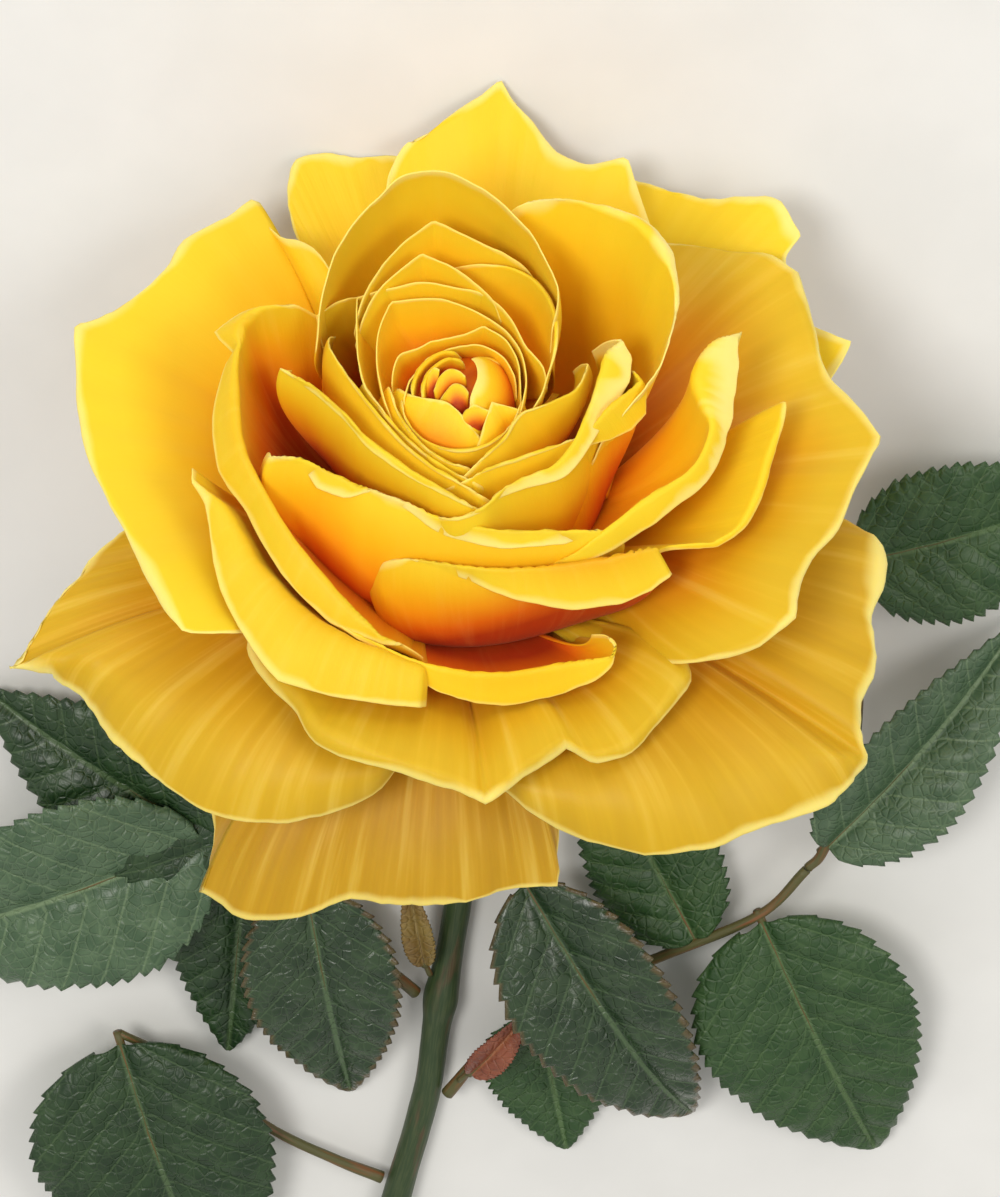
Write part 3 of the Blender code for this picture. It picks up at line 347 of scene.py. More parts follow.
RIB_RADII = (0.75, 0.65, 0.55, 0.4)
RIB_STATIONS = (2, 4, 7)  # ninths of the blade
RIB_DROP = 0.35  # mm below the blade's middle surface
RIB_LEAD = 0.12  # how far it starts before the blade, in thirds of its length

# ---- looks: linear colours
# petal colour from deep to clear: the deep red and orange stops are partly the petal's own orange foot,
# partly painted shade in the bloom's creases and depths
PETAL_RAMP = ((0.0, (0.44, 0.04, 0.006)), (0.22, (0.74, 0.14, 0.005)), (0.45, (0.9, 0.33, 0.006)),
              (0.68, (0.94, 0.51, 0.009)), (0.9, (0.955, 0.625, 0.02)))
# ochre that petals darken to by their shade: partly the petals' own ochre colour, partly painted shade on
# petals facing away from the light
OCHRES = (0.31, 0.13, 0.007), (0.43, 0.205, 0.01)
OCHRE_SHARE = 0.8
# the pale margin's colour: partly the petals' paler edge, partly a painted highlight along their rolled lips
PALE_STREAK, PALE_MARGIN_AND_HIGHLIGHT = (0.98, 0.78, 0.22), (1.0, 0.82, 0.24)
# blade's dark and light, veins, underside, roughness, coat, how red the margin is
LEAF_LOOKS = {
    # the sheen leaflets' paler, greyer blade is partly their own lighter green, partly painted sheen
    "sheen": ((.05, .1, .048), (.088, .15, .078), (.17, .25, .13), (.14, .2, .1), .36, .2, 0),
    "gloss": ((.012, .034, .011), (.028, .06, .022), (.075, .13, .055), (.1, .16, .07), .26, .35, .35),
    "dark": ((.011, .034, .01), (.024, .058, .018), (.07, .12, .048), (.08, .14, .06), .36, .15, 0),
    "soft": ((.02, .06, .015), (.038, .086, .026), (.085, .15, .055), (.09, .15, .06), .42, .1, 0),
    "young": ((.16, .04, .02), (.27, .08, .04), (.34, .13, .06), (.22, .07, .035), .4, .15, 0),
    "bract": ((.17, .1, .025), (.23, .16, .04), (.3, .22, .08), (.2, .14, .05), .45, .1, 0),
}
LEAF_RED = (0.22, 0.1, 0.04)
# green, brown, share of brown
BARK, STALK_BARK = ((.026, .052, .015), (.075, .048, .02), .08), ((.085, .08, .02), (.2, .075, .022), .16)
FIBRE = (0.11, 0.13, 0.05)
CALYX_GREENS = (0.06, 0.15, 0.035), (0.15, 0.27, 0.07)
# from the middle of the cut to its edge: pith, wood, and the bark's ring
CUT_RAMP = ((0.0, (0.78, 0.76, 0.55)), (0.42, (0.74, 0.72, 0.48)), (0.5, (0.46, 0.5, 0.22)),
            (0.86, (0.42, 0.5, 0.2)), (0.95, (0.1, 0.2, 0.05)))
CUT_GRAIN = (0.4, 0.42, 0.22)
FLOOR_GREYS = (0.74, 0.74, 0.72), (0.78, 0.78, 0.76)

# ---- studio
FLOOR_SIZE = 6  # m
WORLD_COLOUR, WORLD_STRENGTH = (1.0, 0.98, 0.95, 1.0), 0.58
LIT_POINT = (0, 0, 20)  # mm, in the bloom's frame
# name, direction from the lit point, distance and size in m, watts, colour
LIGHTS = (
    ("key", (-0.35, 0.35, 0.85), 1.3, 0.5, 7.6, (1.0, 0.98, 0.94)),
    ("front", (0.1, 1.0, 0.45), 1.5, 0.8, 3.4, (1.0, 0.98, 0.95)),
    ("fill", (0.6, 0.3, 0.8), 1.4, 0.6, 4.3, (1.0, 0.97, 0.92)),
)
CAMERA_RISE = 33.0  # degrees above the bloom's axis
CAMERA_DISTANCE = 620.0  # mm
CAMERA_ASIDE, CAMERA_DOWN = 5.95, 8.71  # mm that the frame's middle lies from the bloom's foot
FOCAL, IMAGE_HEIGHT = 4165.0, 1197  # px


# ==== curves and surfaces

def eased(v):
    """Smooth step from 0 to 1."""
    v = np.clip(v, 0, 1)
    return v * v * (3 - 2 * v)


def through(values, share):
    """Smooth curve through evenly spaced values, read at shares from 0 to 1."""
    v = np.asarray(values, float)
    place = np.clip(share, 0, 1) * (len(v) - 1)
    i = np.clip(place.astype(int), 0, len(v) - 2)
    f = place - i
    pad = np.concatenate([[2 * v[0] - v[1]], v, [2 * v[-1] - v[-2]]])
    a, b, c, d = pad[i], pad[i + 1], pad[i + 2], pad[i + 3]
    return b + 0.5 * f * (c - a + f * (2 * a - 5 * b + 4 * c - d + f * (3 * b - a - 3 * c + d)))


def wobble(x, seed, swings):
    """Seeded smooth noise of about -1 to 1, with that many swings per unit of x."""
    rng = np.random.default_rng(seed)
    quicker, weaker = 1.8, 1.6
    total = 0
    for octave in range(4):
        pace = 2 * pi * swings * rng.uniform(0.7, 1.3) * quicker ** octave
        total = total + np.sin(pace * x + rng.uniform(0, 2 * pi)) / weaker ** octave
    return total / 2


def midrib(rise, length):
    """Running place along a midrib: distance, outward and up."""
    y = np.arange(0, length * MIDRIB_OVERRUN, MIDRIB_STEP)
    slope = np.radians(through(rise, y / length))
    return y, np.cumsum(np.cos(slope)) * MIDRIB_STEP, np.cumsum(np.sin(slope)) * MIDRIB_STEP


def smooth_line(knots, sharp, share):
    """Smooth line through knots with a corner at each sharp one, at shares of its length, and its lengths."""
    gap = norm(np.diff(knots, axis=0), axis=1)[:, None]
    gone = np.concatenate([[0], np.cumsum(gap)])
    pace = np.diff(knots, axis=0) / gap
    middle = (pace[1:] * gap[:-1] + pace[:-1] * gap[1:]) / (gap[1:] + gap[:-1])
    corner = sharp[1:-1, None] > 0
    leaving = np.vstack([pace[:1], np.where(corner, pace[1:], middle)])
    coming = np.vstack([np.where(corner, pace[:-1], middle), pace[-1:]])
    place = share * gone[-1]
    i = np.clip(np.searchsorted(gone, place, side="right") - 1, 0, len(gap) - 1)
    h = gap[i]
    f = (place - gone[i])[:, None] / h
    line = (knots[i] * (1 + 2 * f) * (1 - f) ** 2 + leaving[i] * h * f * (1 - f) ** 2
            + knots[i + 1] * f ** 2 * (3 - 2 * f) + coming[i] * h * f ** 2 * (f - 1))
    return line, gone


def normals_of(grid):
    normal = np.cross(np.gradient(grid, axis=0), np.gradient(grid, axis=1))
    return normal / np.maximum(norm(normal, axis=-1, keepdims=True), 1e-12)


def pointing(azimuth):
    return np.stack([np.cos(azimuth), np.sin(azimuth), np.zeros_like(azimuth)], -1)


def petal_places(t, s, below, reach):
    """What the petal's material reads: place across, share up, mm below the margin, and how far above the
    orange foot colour and its painted depth shade it lies.
    """
    return np.stack([t, s, below, 1 - np.minimum(below / reach, 1)], -1)


def folded_sheet(size, seed, foot, slopes, finish, stations):
    """A petal hung from its fold line, with the turned-out margin beyond it."""
    stations = [(*row[:3], 0, 0, 1) if len(row) == 4 else (*row, 0, 0, 0)[:6] for row in stations]
    rows = np.array(stations, float)
    turn = np.radians(rows[:, 0])
    upward = np.array([0.0, 0, 1])
    knots = pointing(turn) * rows[:, 1:2] + upward * rows[:, 2:3]
    t = np.linspace(-1, 1, size[0])
    fold, gone = smooth_line(knots, rows[:, 5], (t + 1) / 2)
    place = (t + 1) / 2 * gone[-1]
    fold[:, 2] += FOLD_STRAY[0] * wobble(place / FOLD_STRAY[1], seed, 1)
    out, drop = (np.interp(place, gone, rows[:, k])[:, None] for k in (3, 4))
    azimuth = np.interp(place, gone, turn)
    facing = (turn[0] + turn[-1]) / 2
    narrowed = facing + (azimuth - facing) * foot[2]
    outward, foot_out = pointing(azimuth), pointing(narrowed)
    root = foot_out * foot[0] + upward * foot[1]
    start, end = (radians(slope) for slope in slopes)
    reach = HANDLE * norm(fold - root, axis=1, keepdims=True)
    a = root + reach * (foot_out * cos(start) + upward * sin(start))
    ahead = outward * cos(end) + upward * sin(end)
    b = fold - reach * ahead
    c = fold + LIP_HANDLE * np.hypot(out, drop) * ahead
    margin = fold + outward * out - upward * drop
    f = np.linspace(0, 1, BODY_STEPS)[:, None, None]
    body = root * (1 - f) ** 3 + 3 * a * f * (1 - f) ** 2 + 3 * b * f ** 2 * (1 - f) + fold * f ** 3
    f = np.linspace(0, 1, LIP_STEPS)[1:, None, None]
    dense = np.concatenate([body, fold * (1 - f) ** 2 + 2 * c * f * (1 - f) + margin * f ** 2])
    steps = norm(np.diff(dense, axis=0), axis=2)
    run = np.concatenate([np.zeros((1, len(t))), np.cumsum(steps, axis=0)])
    share = 1 - (1 - np.linspace(0, 1, size[1])) ** CROWDING
    grid = np.array([[np.interp(share * run[-1, k], run[:, k], dense[:, k, axis]) for axis in range(3)]
                     for k in range(len(t))]).transpose(0, 2, 1)
    t, s = np.meshgrid(t, share, indexing="ij")
    wave, crease = finish[:2]
    slow = SLOW_WAVE[0] * wobble(t, seed + 1, SLOW_WAVE[1])
    quick = QUICK_WAVE[0] * s * wobble(t, seed + 2, QUICK_WAVE[1])
    swell = wave * eased(s) ** 2 * (slow + quick)
    stray = CREASE_STRAY[0] * wobble(s, seed + 3, CREASE_STRAY[1])
    swell = swell + crease * eased(CREASE_START * s) * wobble(t + stray, seed + 4, CREASES)
    grid = grid + normals_of(grid) * swell[..., None]
    return grid, petal_places(t, s, (1 - s) * run[-1][:, None], finish[3])


def curl_sheet(margin, under, swell):
    """A small plump petal between its margin and the line where it goes under its neighbour."""
    t, share = np.linspace(0, 1, CURL_GRID[0]), np.linspace(0, 1, CURL_GRID[1])
    top, low = (smooth_line(np.array(line, float), np.zeros(len(line)), t)[0] for line in (margin, under))
    t, s = np.meshgrid(t, share, indexing="ij")
    face = swell * (4 * s * (1 - s)) ** 0.7 * (1 - 0.7 * (2 * t - 1) ** 2)
    grid = low[:, None] + (top - low)[:, None] * s[..., None] + face[..., None] * np.array(TO_VIEW)
    below = (1 - s) * norm(top - low, axis=1)[:, None]
    return grid, petal_places(2 * t - 1, s, below, CURL_FINISH[3])


def leaflet_sheet(x, y, z, heading, length, width, pitch, fold, seed):
    """Middle surface of a toothed, veined leaflet, with (along mm, across mm, vein) for each point."""
    along = np.linspace(*LEAF_SPAN, LEAF_ALONG)
    v = np.linspace(-1, 1, LEAF_ACROSS + 1)
    s, v = np.meshgrid(along, np.sign(v) * abs(v) ** LEAF_CROWDING, indexing="ij")
    edge, right = abs(v), np.sign(v)
    half = np.maximum(0.5 * width * s ** LEAF_SWELL * (1 - s) ** LEAF_TAPER / LEAF_PEAK, LEAF_NARROWEST)
    saw = 1 - (s * TEETH + STAGGER * right) % 1
    tooth = min(TOOTH, TOOTH_SHARE * width) * saw * eased(half / 3)
    across = v * half - right * tooth * edge ** TOOTH_POWER
    forward = tooth * TOOTH_LEAN * edge ** TOOTH_POWER * (1 - saw)
    place = s * length
    q = (place - VEIN_LEAN * edge * half) * VEINS / length + VEIN_STAGGER * right
    swell = 1 - abs(2 * (q % 1) - 1) ** 2
    rise = QUILT * swell * eased(abs(across) / 3) * (1 - edge ** 5) * width / QUILT_WIDTH
    groove = GROOVE[0] * np.exp(-(across / GROOVE[1]) ** 2)
    ruffle = sum(share * half * edge ** power * wobble(s, seed + k, swings)
                 for k, (share, power, swings) in enumerate((RUFFLE, FRILL)))
    run, outward, up = midrib(pitch, length)
    a, f = radians(heading), radians(fold)
    droop = DROOP * half * edge ** 3
    lift = abs(across) * sin(f) + rise - groove + ruffle - droop
    reach = np.interp(place + forward, run, outward)
    height = z + np.interp(place, run, up) + lift + LEAF_LIFT
    side = across * cos(f)
    grid = np.stack([x + reach * cos(a) - side * sin(a), y + reach * sin(a) + side * cos(a), height], -1)
    return grid, np.stack([place, across, q], -1)


def shell(grid, places, thick):
    """Closed sheet with a rounded margin: vertices, faces and places, which end with 1 on top and 0 below."""
    m, n = grid.shape[:2]
    normal = normals_of(grid)
    reach = np.broadcast_to(np.asarray(thick, float), (m, n))[..., None] / 2
    count = m * n
    index = np.arange(count).reshape(m, n)
    quads = np.stack([index[:-1, :-1], index[1:, :-1], index[1:, 1:], index[:-1, 1:]], -1).reshape(-1, 4)
    ring = np.concatenate([index[:, 0], index[-1, 1:], index[-2::-1, -1], index[0, -2:0:-1]])
    edge = grid.reshape(-1, 3)[ring]
    ahead = np.roll(edge, -1, 0) - np.roll(edge, 1, 0)
    outward = np.cross(ahead, normal.reshape(-1, 3)[ring])
    outward /= np.maximum(norm(outward, axis=1, keepdims=True), 1e-12)
    roundness = 0.8
    round_edge = edge + outward * reach.reshape(-1, 1)[ring] * roundness
    points = np.vstack([*((grid + way * normal * reach).reshape(-1, 3) for way in (1, -1)), round_edge])
    lip = 2 * count + np.arange(len(ring))
    after, lip_after = np.roll(ring, -1), np.roll(lip, -1)
    faces = np.vstack([
        quads,
        quads[:, ::-1] + count,
        np.stack([ring, lip, lip_after, after], -1),
        np.stack([lip, ring + count, after + count, lip_after], -1),
    ])
    flat = places.reshape(-1, places.shape[-1])
    side = np.concatenate([np.ones(count), np.zeros(count), np.full(len(ring), 0.5)])[:, None]
    return points, faces, np.hstack([np.vstack([flat, flat, flat[ring]]), side])


def lathe(profile, sides):
    """Closed body of revolution about Z; the profile starts and ends on the axis."""
    turn = np.linspace(0, 2 * pi, sides, endpoint=False)
    rings = [pointing(turn) * r + np.array([0, 0, z]) for r, z in profile[1:-1]]
    points = np.vstack(rings + [[(0, 0, profile[0][1])], [(0, 0, profile[-1][1])]])
    low, top = len(points) - 2, len(points) - 1
    last = (len(rings) - 1) * sides
    faces = []
    for k in range(sides):
        q = (k + 1) % sides
        faces += [(low, q, k), (top, last + k, last + q)]
        faces += [(a + k, a + q, a + sides + q, a + sides + k) for a in range(0, last, sides)]
    return points, faces


def band(index):
    """Faces between rings of points, given by their numbers ring by ring."""
    after = np.roll(index, -1, 1)
    return np.stack([index[:-1], index[1:], after[1:], after[:-1]], -1).reshape(-1, 4)


def tube(path, sides, steps, relief, seed, level_end=False):
    """Closed tube along (x, y, z, radius) points: vertices, faces and (along, around) places."""
    knots = np.asarray(path, float)
    count = (len(knots) - 1) * steps + 1
    share = np.linspace(0, 1, count)
    line = np.stack([through(knots[:, k], share) for k in range(4)], -1)
    centre, radius = line[:, :3], line[:, 3]
    ahead = np.gradient(centre, axis=0)
    if level_end:
        ahead[-1] = (0, -1, 0)
    gone = np.concatenate([[0], np.cumsum(norm(np.diff(centre, axis=0), axis=1))])
    ahead /= norm(ahead, axis=1, keepdims=True)
    side = np.cross(ahead, (0, 0, 1))
    side /= norm(side, axis=1, keepdims=True)
    over = np.cross(side, ahead)
    turn = np.linspace(0, 2 * pi, sides, endpoint=False) + pi / sides
    aside, above = np.cos(turn), np.sin(turn)
    bumps = relief * wobble(gone[:, None] / RELIEF_LENGTH + aside, seed, RELIEF_SWINGS)
    ring = aside[:, None] * side[:, None] + above[:, None] * over[:, None]
    points = (centre[:, None] + (radius[:, None] * (1 + bumps))[..., None] * ring).reshape(-1, 3)
    places = np.column_stack([np.repeat(gone, sides), np.tile(aside, count), np.tile(above, count)])
    index = np.arange(count * sides).reshape(count, sides)
    return points, [*band(index), index[0], index[-1][::-1]], places


def in_bloom(points):
    """From the bloom's frame to the floor's, in millimetres."""
    a = radians(NOD)
    x, y, z = np.moveaxis(np.asarray(points, float), -1, 0)
    return np.stack([x, y * sin(a) + z * cos(a), FOOT_HEIGHT - y * cos(a) + z * sin(a)], -1)


# ==== materials

class Nodes:
    """A material's node tree, with short calls to add and link nodes. A colour is (red, green, blue)."""

    def __init__(self, name):
        self.material = bpy.data.materials.new(name)
        self.material.use_nodes = True
        self.tree = self.material.node_tree
        self.shader = self.tree.nodes["Principled BSDF"]

    def finish(self, colour, height=None, distance=0.0, strength=1.0, **values):
        """Link the colour, and a bump where there is a height, to the shader and set its other sockets."""
        self.feed(self.shader.inputs["Base Color"], colour)
        if height is not None:
            bump = self.node("Bump", Strength=strength, Distance=distance, Height=height)
            self.feed(self.shader.inputs["Normal"], bump.outputs[0])
        for name, value in values.items():
            self.shader.inputs[name.replace("_", " ")].default_value = value
        return self.material

    def feed(self, socket, value):
        if isinstance(value, bpy.types.NodeSocket):
            self.tree.links.new(value, socket)
        else:
            socket.default_value = (*value, 1.0) if isinstance(value, tuple) else value

    def node(self, kind, *given, **named):
        """A new node, its first sockets fed in order or its sockets by name."""
        node = self.tree.nodes.new("ShaderNode" + kind)
        for socket, value in zip(node.inputs, given):
            self.feed(socket, value)
        for name, value in named.items():
            self.feed(node.inputs[name], value)
        return node

    def attribute(self, name):
        node = self.node("Attribute")
        node.attribute_name = name
        return node.outputs

    def coordinates(self):
        return self.node("TexCoord").outputs["Object"]

    def split(self, name):
        """The three parts of a vector attribute."""
        return self.node("SeparateXYZ", self.attribute(name)["Vector"]).outputs

    def join(self, x, y, z=0.0):
        return self.node("CombineXYZ", x, y, z).outputs[0]

    def math(self, operation, a, b=0.0):
        node = self.node("Math", a, b)
        node.operation = operation
        return node.outputs[0]

    def times(self, a, b):
        return self.math("MULTIPLY", a, b)

    def ranged(self, value, low, high, to_low=0.0, to_high=1.0):
        node = self.node("MapRange", value, low, high, to_low, to_high)
        node.interpolation_type = "SMOOTHSTEP"
        return node.outputs[0]

    def noise(self, vector, scale, detail=3.0, roughness=0.5):
        node = self.node("TexNoise", Vector=vector, Scale=scale, Detail=detail, Roughness=roughness)
        return node.outputs["Fac"]

    def cells(self, vector, scale):
        node = self.node("TexVoronoi", Vector=vector, Scale=scale)
        node.feature = "DISTANCE_TO_EDGE"
        return node.outputs["Distance"]

    def mix(self, share, a, b):
        node = self.node("Mix")
        node.data_type = "RGBA"
        for socket, value in zip((0, 6, 7), (share, a, b)):
            self.feed(node.inputs[socket], value)
        return node.outputs[2]

    def ramp(self, value, stops):
        node = self.node("ValToRGB", value)
        elements = node.color_ramp.elements
        while len(elements) < len(stops):
            elements.new(0.5)
        for element, (place, colour) in zip(elements, stops):
            element.position = place
            element.color = (*colour, 1.0)
        return node.outputs[0]


def petal_material():
    """Satin petal: deep orange at the foot, partly its own colour and partly painted shade of the bloom's
    depths, yellow above, a thin pale margin that is partly a painted highlight, ochre that is partly painted
    shade and faint lengthwise veins.
    """
    n = Nodes("rose_petal")
    across, share, margin = n.split("place")
    pale, above_orange_foot_and_shade, shade = n.split("tone")

    def drawn_out(swings_across, swings_up, third, detail, roughness=0.5):
        """Noise with its own swings across and up the petal."""
        lengthwise = n.join(n.times(across, swings_across), n.times(share, swings_up), third)
        return n.noise(lengthwise, 1.0, detail, roughness)

    cloud = drawn_out(1.6, 2.4, pale, 2.0)
    # ramp by depth below the margin: orange foot colour under painted depth shade, yellow above
    depth = n.math("ADD", above_orange_foot_and_shade, n.times(n.math("SUBTRACT", cloud, 0.5), 0.20))
    body = n.ramp(depth, PETAL_RAMP)
    streaks = drawn_out(20.0, 1.3, pale, 3.0, 0.55)
    pale_streaks = n.times(n.ranged(streaks, 0.50, 0.80, 0.0, 0.30), n.math("ADD", shade, 0.08))
    ochre = n.mix(n.ranged(streaks, 0.30, 0.70), *OCHRES)
    # darken towards ochre by shade: partly the petal's own colour, partly painted shade
    body = n.mix(n.times(shade, OCHRE_SHARE), body, ochre)
    body = n.mix(pale_streaks, body, PALE_STREAK)
    uneven = n.noise(n.join(n.times(across, 3.5), pale, above_orange_foot_and_shade), 1.0, 2.0)
    # pale margin: partly the petal's paler edge, partly a painted highlight on the rolled lip
    width = n.times(pale, n.ranged(uneven, 0.3, 0.7, 0.35, 1.5))
    rim = n.ranged(margin, n.times(width, 0.2), width, n.ranged(pale, 0.5, 2.5, 0.5, 0.85), 0.0)
    body = n.mix(rim, body, PALE_MARGIN_AND_HIGHLIGHT)
    fine = drawn_out(55.0, 9.0, 0.0, 3.0)
    return n.finish(body, fine, 0.00006, 0.5, Roughness=0.5, Specular_IOR_Level=0.22,
                    Subsurface_Weight=0.2, Subsurface_Scale=0.002, Subsurface_Radius=(1.0, 0.5, 0.06),
                    Sheen_Weight=0.05, Sheen_Roughness=0.4, Sheen_Tint=(1.0, 0.9, 0.5, 1.0))


def leaf_material(name, dark, light, vein, under, roughness, coat, red_margin):
    """Veined blade: lighter midrib and side veins, a fine net between them and a paler underside."""
    n = Nodes(name)
    along, across, q = n.split("place")
    side = n.attribute("side")["Fac"]
    flat = n.join(along, across)
    top = n.mix(n.ranged(n.noise(flat, 0.16), 0.35, 0.7), dark, light)
    fraction = n.math("FRACT", q)
    near = n.math("MINIMUM", fraction, n.math("SUBTRACT", 1.0, fraction))
    width = n.math("ABSOLUTE", across)
    line = n.math("MAXIMUM", n.ranged(near, 0.015, 0.055, 0.55, 0.0), n.ranged(width, 0.25, 0.75, 1.0, 0.0))
    net = n.cells(flat, 0.62)
    veined = n.math("MAXIMUM", line, n.ranged(net, 0.0, 0.09, 0.22, 0.0))
    colour = n.mix(n.ranged(side, 0.3, 0.7), n.mix(veined, under, vein), n.mix(veined, top, vein))
    if red_margin:
        rim = n.attribute("margin")["Fac"]
        colour = n.mix(n.ranged(rim, 0.1, 1.1, red_margin, 0.0), colour, LEAF_RED)
    relief = n.math("ADD", n.ranged(net, 0.0, 0.18), n.times(n.noise(flat, 2.4), 0.5))
    return n.finish(colour, relief, 0.00022, 0.7, Roughness=roughness, Specular_IOR_Level=0.38,
                    Coat_Weight=coat, Coat_Roughness=0.25)


def bark_material(name, green, brown, brown_share):
    """Smooth green bark with brown flushes and fine lengthwise fibres."""
    n = Nodes(name)
    along, a, b = n.split("place")
    flush = n.noise(n.join(n.times(along, 0.09), a, b), 1.1)
    fibre = n.noise(n.join(n.times(along, 0.25), n.times(a, 9.0), n.times(b, 9.0)), 1.0)
    body = n.mix(n.ranged(flush, 0.62 - brown_share, 0.75 - 0.5 * brown_share), green, brown)
    body = n.mix(n.ranged(fibre, 0.4, 0.7, 0.0, 0.30), body, FIBRE)
    return n.finish(body, fibre, 0.00015, 0.5, Roughness=0.48)


def calyx_material():
    n = Nodes("rose_calyx")
    coordinates = n.coordinates()
    colour = n.mix(n.ranged(n.noise(coordinates, 260.0, 4.0), 0.3, 0.7), *CALYX_GREENS)
    return n.finish(colour, n.noise(coordinates, 1500.0), 0.0002, 0.5, Roughness=0.55)


def cut_material():
    """The cut face: a green ring of bark, pale wood and a whiter pith, by distance from the middle."""
    n = Nodes("rose_cut")
    body = n.ramp(n.split("place")[0], CUT_RAMP)
    grain = n.noise(n.coordinates(), 2600.0)
    return n.finish(n.mix(n.ranged(grain, 0.3, 0.7, 0.0, 0.3), body, CUT_GRAIN), Roughness=0.7)


def floor_material():
    n = Nodes("floor_paper")
    fleck = n.noise(n.coordinates(), 40.0, 5.0)
    return n.finish(n.mix(n.ranged(fleck, 0.3, 0.7), *FLOOR_GREYS), Roughness=0.85)


# ==== pieces

def add(name, data):
    """An object with this data, in the scene."""
    obj = bpy.data.objects.new(name, data)
    bpy.context.scene.collection.objects.link(obj)
    return obj


def piece(name, points, faces, material, node, slot, **attributes):
    """A smooth mesh object in the frame, standing for a CAD node."""
    mesh = bpy.data.meshes.new(name)
    points = [tuple(p) for p in (points - ORIGIN) * MM]
    mesh.from_pydata(points, [], [tuple(int(k) for k in f) for f in faces])
    mesh.update()
    for key, values in attributes.items():
        kind, field = ("FLOAT_VECTOR", "vector") if np.ndim(values) == 2 else ("FLOAT", "value")
        data = mesh.attributes.new(key, kind, "POINT").data
        data.foreach_set(field, np.asarray(values, np.float32).ravel())
    mesh.shade_smooth()
    mesh.materials.append(material)
    obj = add(name, mesh)
    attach(obj, "root")
    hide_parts(node)


def bloom_piece(name, points, faces, material, node="bloom", slot="petal", **attributes):
    piece(name, in_bloom(points), faces, material, node, slot, **attributes)


def dress_petal(name, sheet, finish, material):
    """A petal of the bloom, with its pale margin's width (partly painted highlight), its place on the
    orange-to-yellow ramp (partly painted depth shade) and its ochre shade (partly painted shade) in the
    attribute tone.
    """
    grid, places = sheet
    thick = PETAL_THICK * (1 - 0.5 * places[..., 1] ** 2)
    points, faces, placed = shell(grid, places, thick)
    pale, _, shade = finish[2:]
    widths = np.atleast_1d(pale)
    pale = np.interp(placed[:, 0], np.linspace(-1, 1, len(widths)), widths)
    tone = np.column_stack([pale, placed[:, 3], np.full(len(points), shade)])
    bloom_piece("petal_" + name, points, faces, material, place=placed[:, :3], tone=tone)


def heart_petals():
    """The heart's petals as the others are given; their feet follow from their rims."""
    for number, (spread, rise, lean, pale, reach, stations) in enumerate(HEART, 1):
        radius, height = np.mean([row[1:3] for row in stations], axis=0)
        foot = (spread * radius, height - HEART_DEPTH[0] - HEART_DEPTH[1] * radius, HEART_SPAN)
        yield f"heart_{number}", foot, (rise, lean), (*HEART_SHAPE, pale, reach, 0), stations


def bloom():
    material = petal_material()
    seed = FIRST_SEED
    for size, petals in ((PETAL_GRID, FOLDED), (HEART_GRID, heart_petals())):
        for name, foot, slopes, finish, stations in petals:
            dress_petal(name, folded_sheet(size, seed, foot, slopes, finish, stations), finish, material)
            seed += SEED_STEP
    for number, curl in enumerate(CURLS, 1):
        dress_petal(f"curl_{number}", curl_sheet(*curl), CURL_FINISH, material)
    points, faces = lathe(CORE, CORE_SIDES)
    around = np.arctan2(points[:, 1], points[:, 0])
    place = np.column_stack([around, np.full(len(points), CORE_SHARE), np.full(len(points), CORE_MARGIN)])
    # low on the petal ramp: painted dark orange-red shade where the core shows between the curls
    tone = np.tile((0.0, CORE_ORANGE_AND_SHADE, 0.0), (len(points), 1))
    bloom_piece("petal_core", points, faces, material, place=place, tone=tone)


def calyx():
    material = calyx_material()
    points, faces = lathe(HIP, HIP_SIDES)
    bloom_piece("hip", points, faces, material, "calyx", "calyx")
    for k in range(SEPALS):
        middle = FIRST_SEPAL + 360 / SEPALS * k
        stations = [(middle + aside, *row) for aside, *row in SEPAL]
        sheet = folded_sheet(SEPAL_GRID, SEPAL_SEED + k, SEPAL_FOOT, SEPAL_SLOPES, SEPAL_FINISH, stations)
        points, faces, _ = shell(*sheet, SEPAL_THICK)
        bloom_piece(f"sepal_{k + 1}", points, faces, material, "calyx", "calyx")


def stem():
    """The bark, and the cut face as a thin disc a little proud of its end."""
    points, faces, places = tube(STEM, *STEM_TUBE, level_end=True)
    piece("stem_bark", points, faces, bark_material("rose_bark", *BARK), "stem", "stem", place=places)
    x, y, z, radius = STEM[-1]
    sides, rim = STEM_TUBE[0], CUT_RINGS[-1][0]
    turn = np.linspace(0, 2 * pi, sides, endpoint=False)
    rings = (*CUT_RINGS, (rim, -CUT_DEPTH))
    disc = [(x + radius * share * cos(q), y - proud, z + radius * share * sin(q))
            for share, proud in rings for q in turn]
    index = np.arange(len(disc)).reshape(len(rings), sides)
    faces = [*band(index)[:, (0, 3, 2, 1)], index[0][::-1], index[-1]]
    share = np.repeat([share for share, _ in rings], sides)
    place = np.stack([share, share * 0, share * 0], -1)
    piece("stem_cut", np.array(disc), faces, cut_material(), "stem", "stem", place=place)


def leaf_blade(name, row, material, bark, node, slot, seed):
    """A leaflet's blade and the rib under it."""
    grid, places = leaflet_sheet(*row, seed)
    width = abs(places[..., 1])
    points, faces, placed = shell(grid, np.dstack([places, width[:, :1] - width]), LEAF_THICK)
    piece(name.format("blade"), points, faces, material, node, slot, place=placed[:, :3], margin=placed[:, 3],
          side=placed[:, 4])
    middle = grid[:, LEAF_ACROSS // 2]
    start = middle[0] - RIB_LEAD * (middle[LEAF_ALONG // 3] - middle[0])
    places = [start] + [middle[k * LEAF_ALONG // 9] for k in RIB_STATIONS]
    rib = [(*(place - (0, 0, RIB_DROP)), radius) for place, radius in zip(places, RIB_RADII)]
    points, faces, places = tube(rib, *RIB_TUBE, seed)
    piece(name.format("rib"), points, faces, bark, node, slot, place=places)


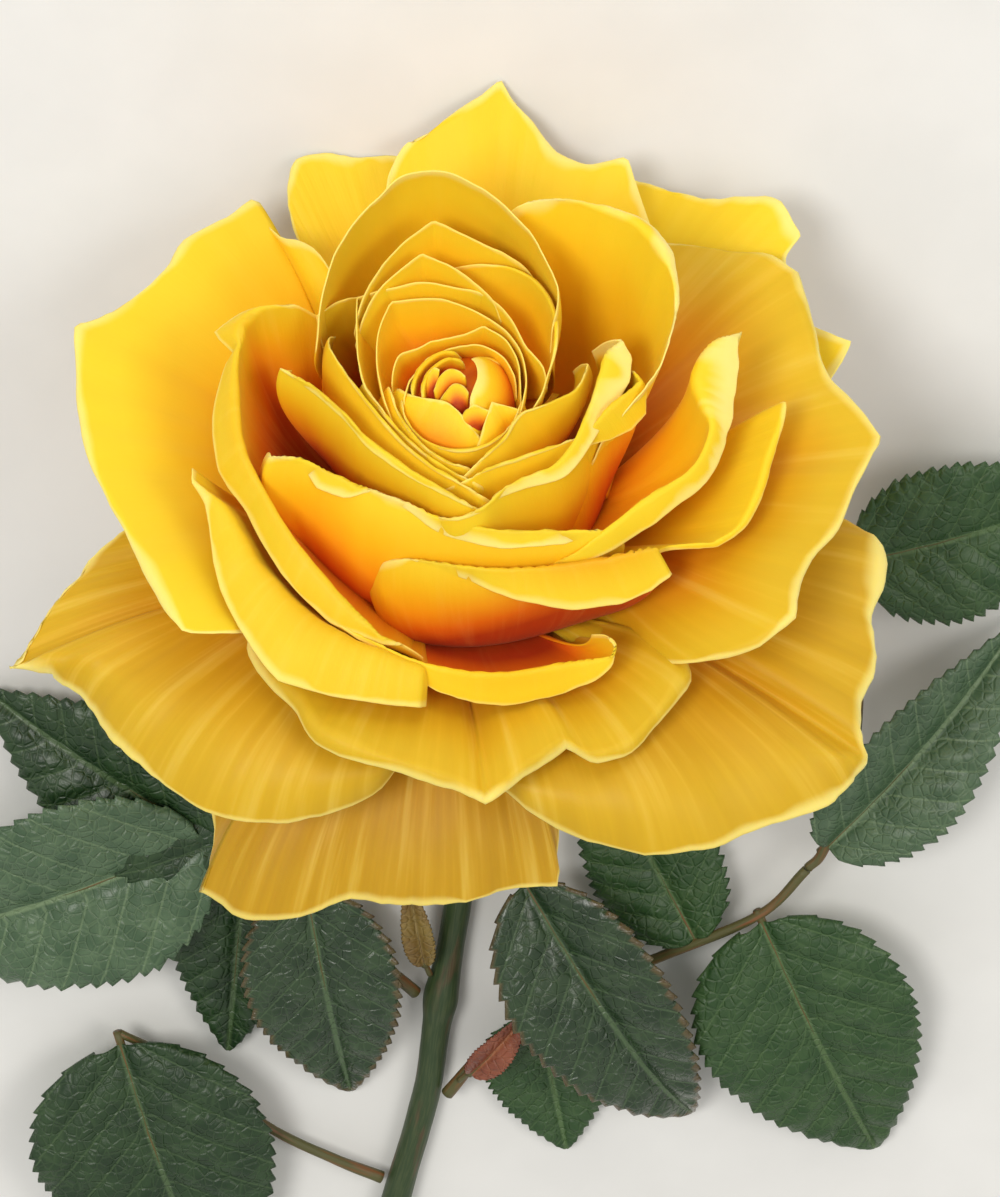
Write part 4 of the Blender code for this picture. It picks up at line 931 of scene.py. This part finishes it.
def leaves():
    kinds = {kind: leaf_material("leaf_" + kind, *look) for kind, look in LEAF_LOOKS.items()}
    bark = bark_material("rose_stalk", *STALK_BARK)
    seed = LEAF_SEED
    for node, (path, leaflets) in LEAVES.items():
        slot = "young_leaf" if node in ("young_leaf", "bract") else "leaf"
        points, faces, places = tube(path, *STALK_TUBE, seed)
        piece(node + "_stalk", points, faces, bark, node, slot, place=places)
        for number, (*row, kind) in enumerate(leaflets, 1):
            leaf_blade(f"{node}_{{}}_{number}", row, kinds[kind], bark, node, slot, seed)
            seed += SEED_STEP


# ==== floor, light and camera

def light(name, direction, distance, size, power, colour):
    data = bpy.data.lights.new(name, "AREA")
    data.shape, data.size, data.energy, data.color = "DISK", size, power, colour
    obj = add(name, data)
    towards = np.array(direction, float) / norm(direction)
    obj.location = (in_bloom(LIT_POINT) - ORIGIN) * MM + towards * distance
    obj.rotation_mode = "QUATERNION"
    obj.rotation_quaternion = Vector(towards).to_track_quat("Z", "Y")


def studio():
    bpy.ops.mesh.primitive_plane_add(size=FLOOR_SIZE)
    floor = bpy.context.object
    floor.name = "floor"
    floor.data.materials.append(floor_material())
    world = bpy.data.worlds.new("studio")
    world.use_nodes = True
    background = world.node_tree.nodes["Background"]
    background.inputs["Color"].default_value = WORLD_COLOUR
    background.inputs["Strength"].default_value = WORLD_STRENGTH
    bpy.context.scene.world = world
    for row in LIGHTS:
        light(*row)


def camera():
    """Looks down on the rose, from above the line that the bloom faces."""
    rise = radians(CAMERA_RISE)
    eye, up = np.array([0, -sin(rise), cos(rise)]), np.array([0, cos(rise), sin(rise)])
    place = CAMERA_DISTANCE * eye + np.array([CAMERA_ASIDE, 0, 0]) - CAMERA_DOWN * up
    data = bpy.data.cameras.new("camera")
    data.lens = data.sensor_width * FOCAL / IMAGE_HEIGHT
    matrix = np.eye(4)
    matrix[:3, :3] = (in_bloom([[1, 0, 0], up, eye]) - in_bloom([0, 0, 0])).T
    matrix[:3, 3] = (in_bloom(place) - ORIGIN) * MM
    obj = add("camera", data)
    obj.matrix_world = Matrix(matrix.tolist())
    bpy.context.scene.camera = obj


bloom()
calyx()
stem()
leaves()
studio()
camera()
bpy.context.scene.view_settings.view_transform = "Standard"
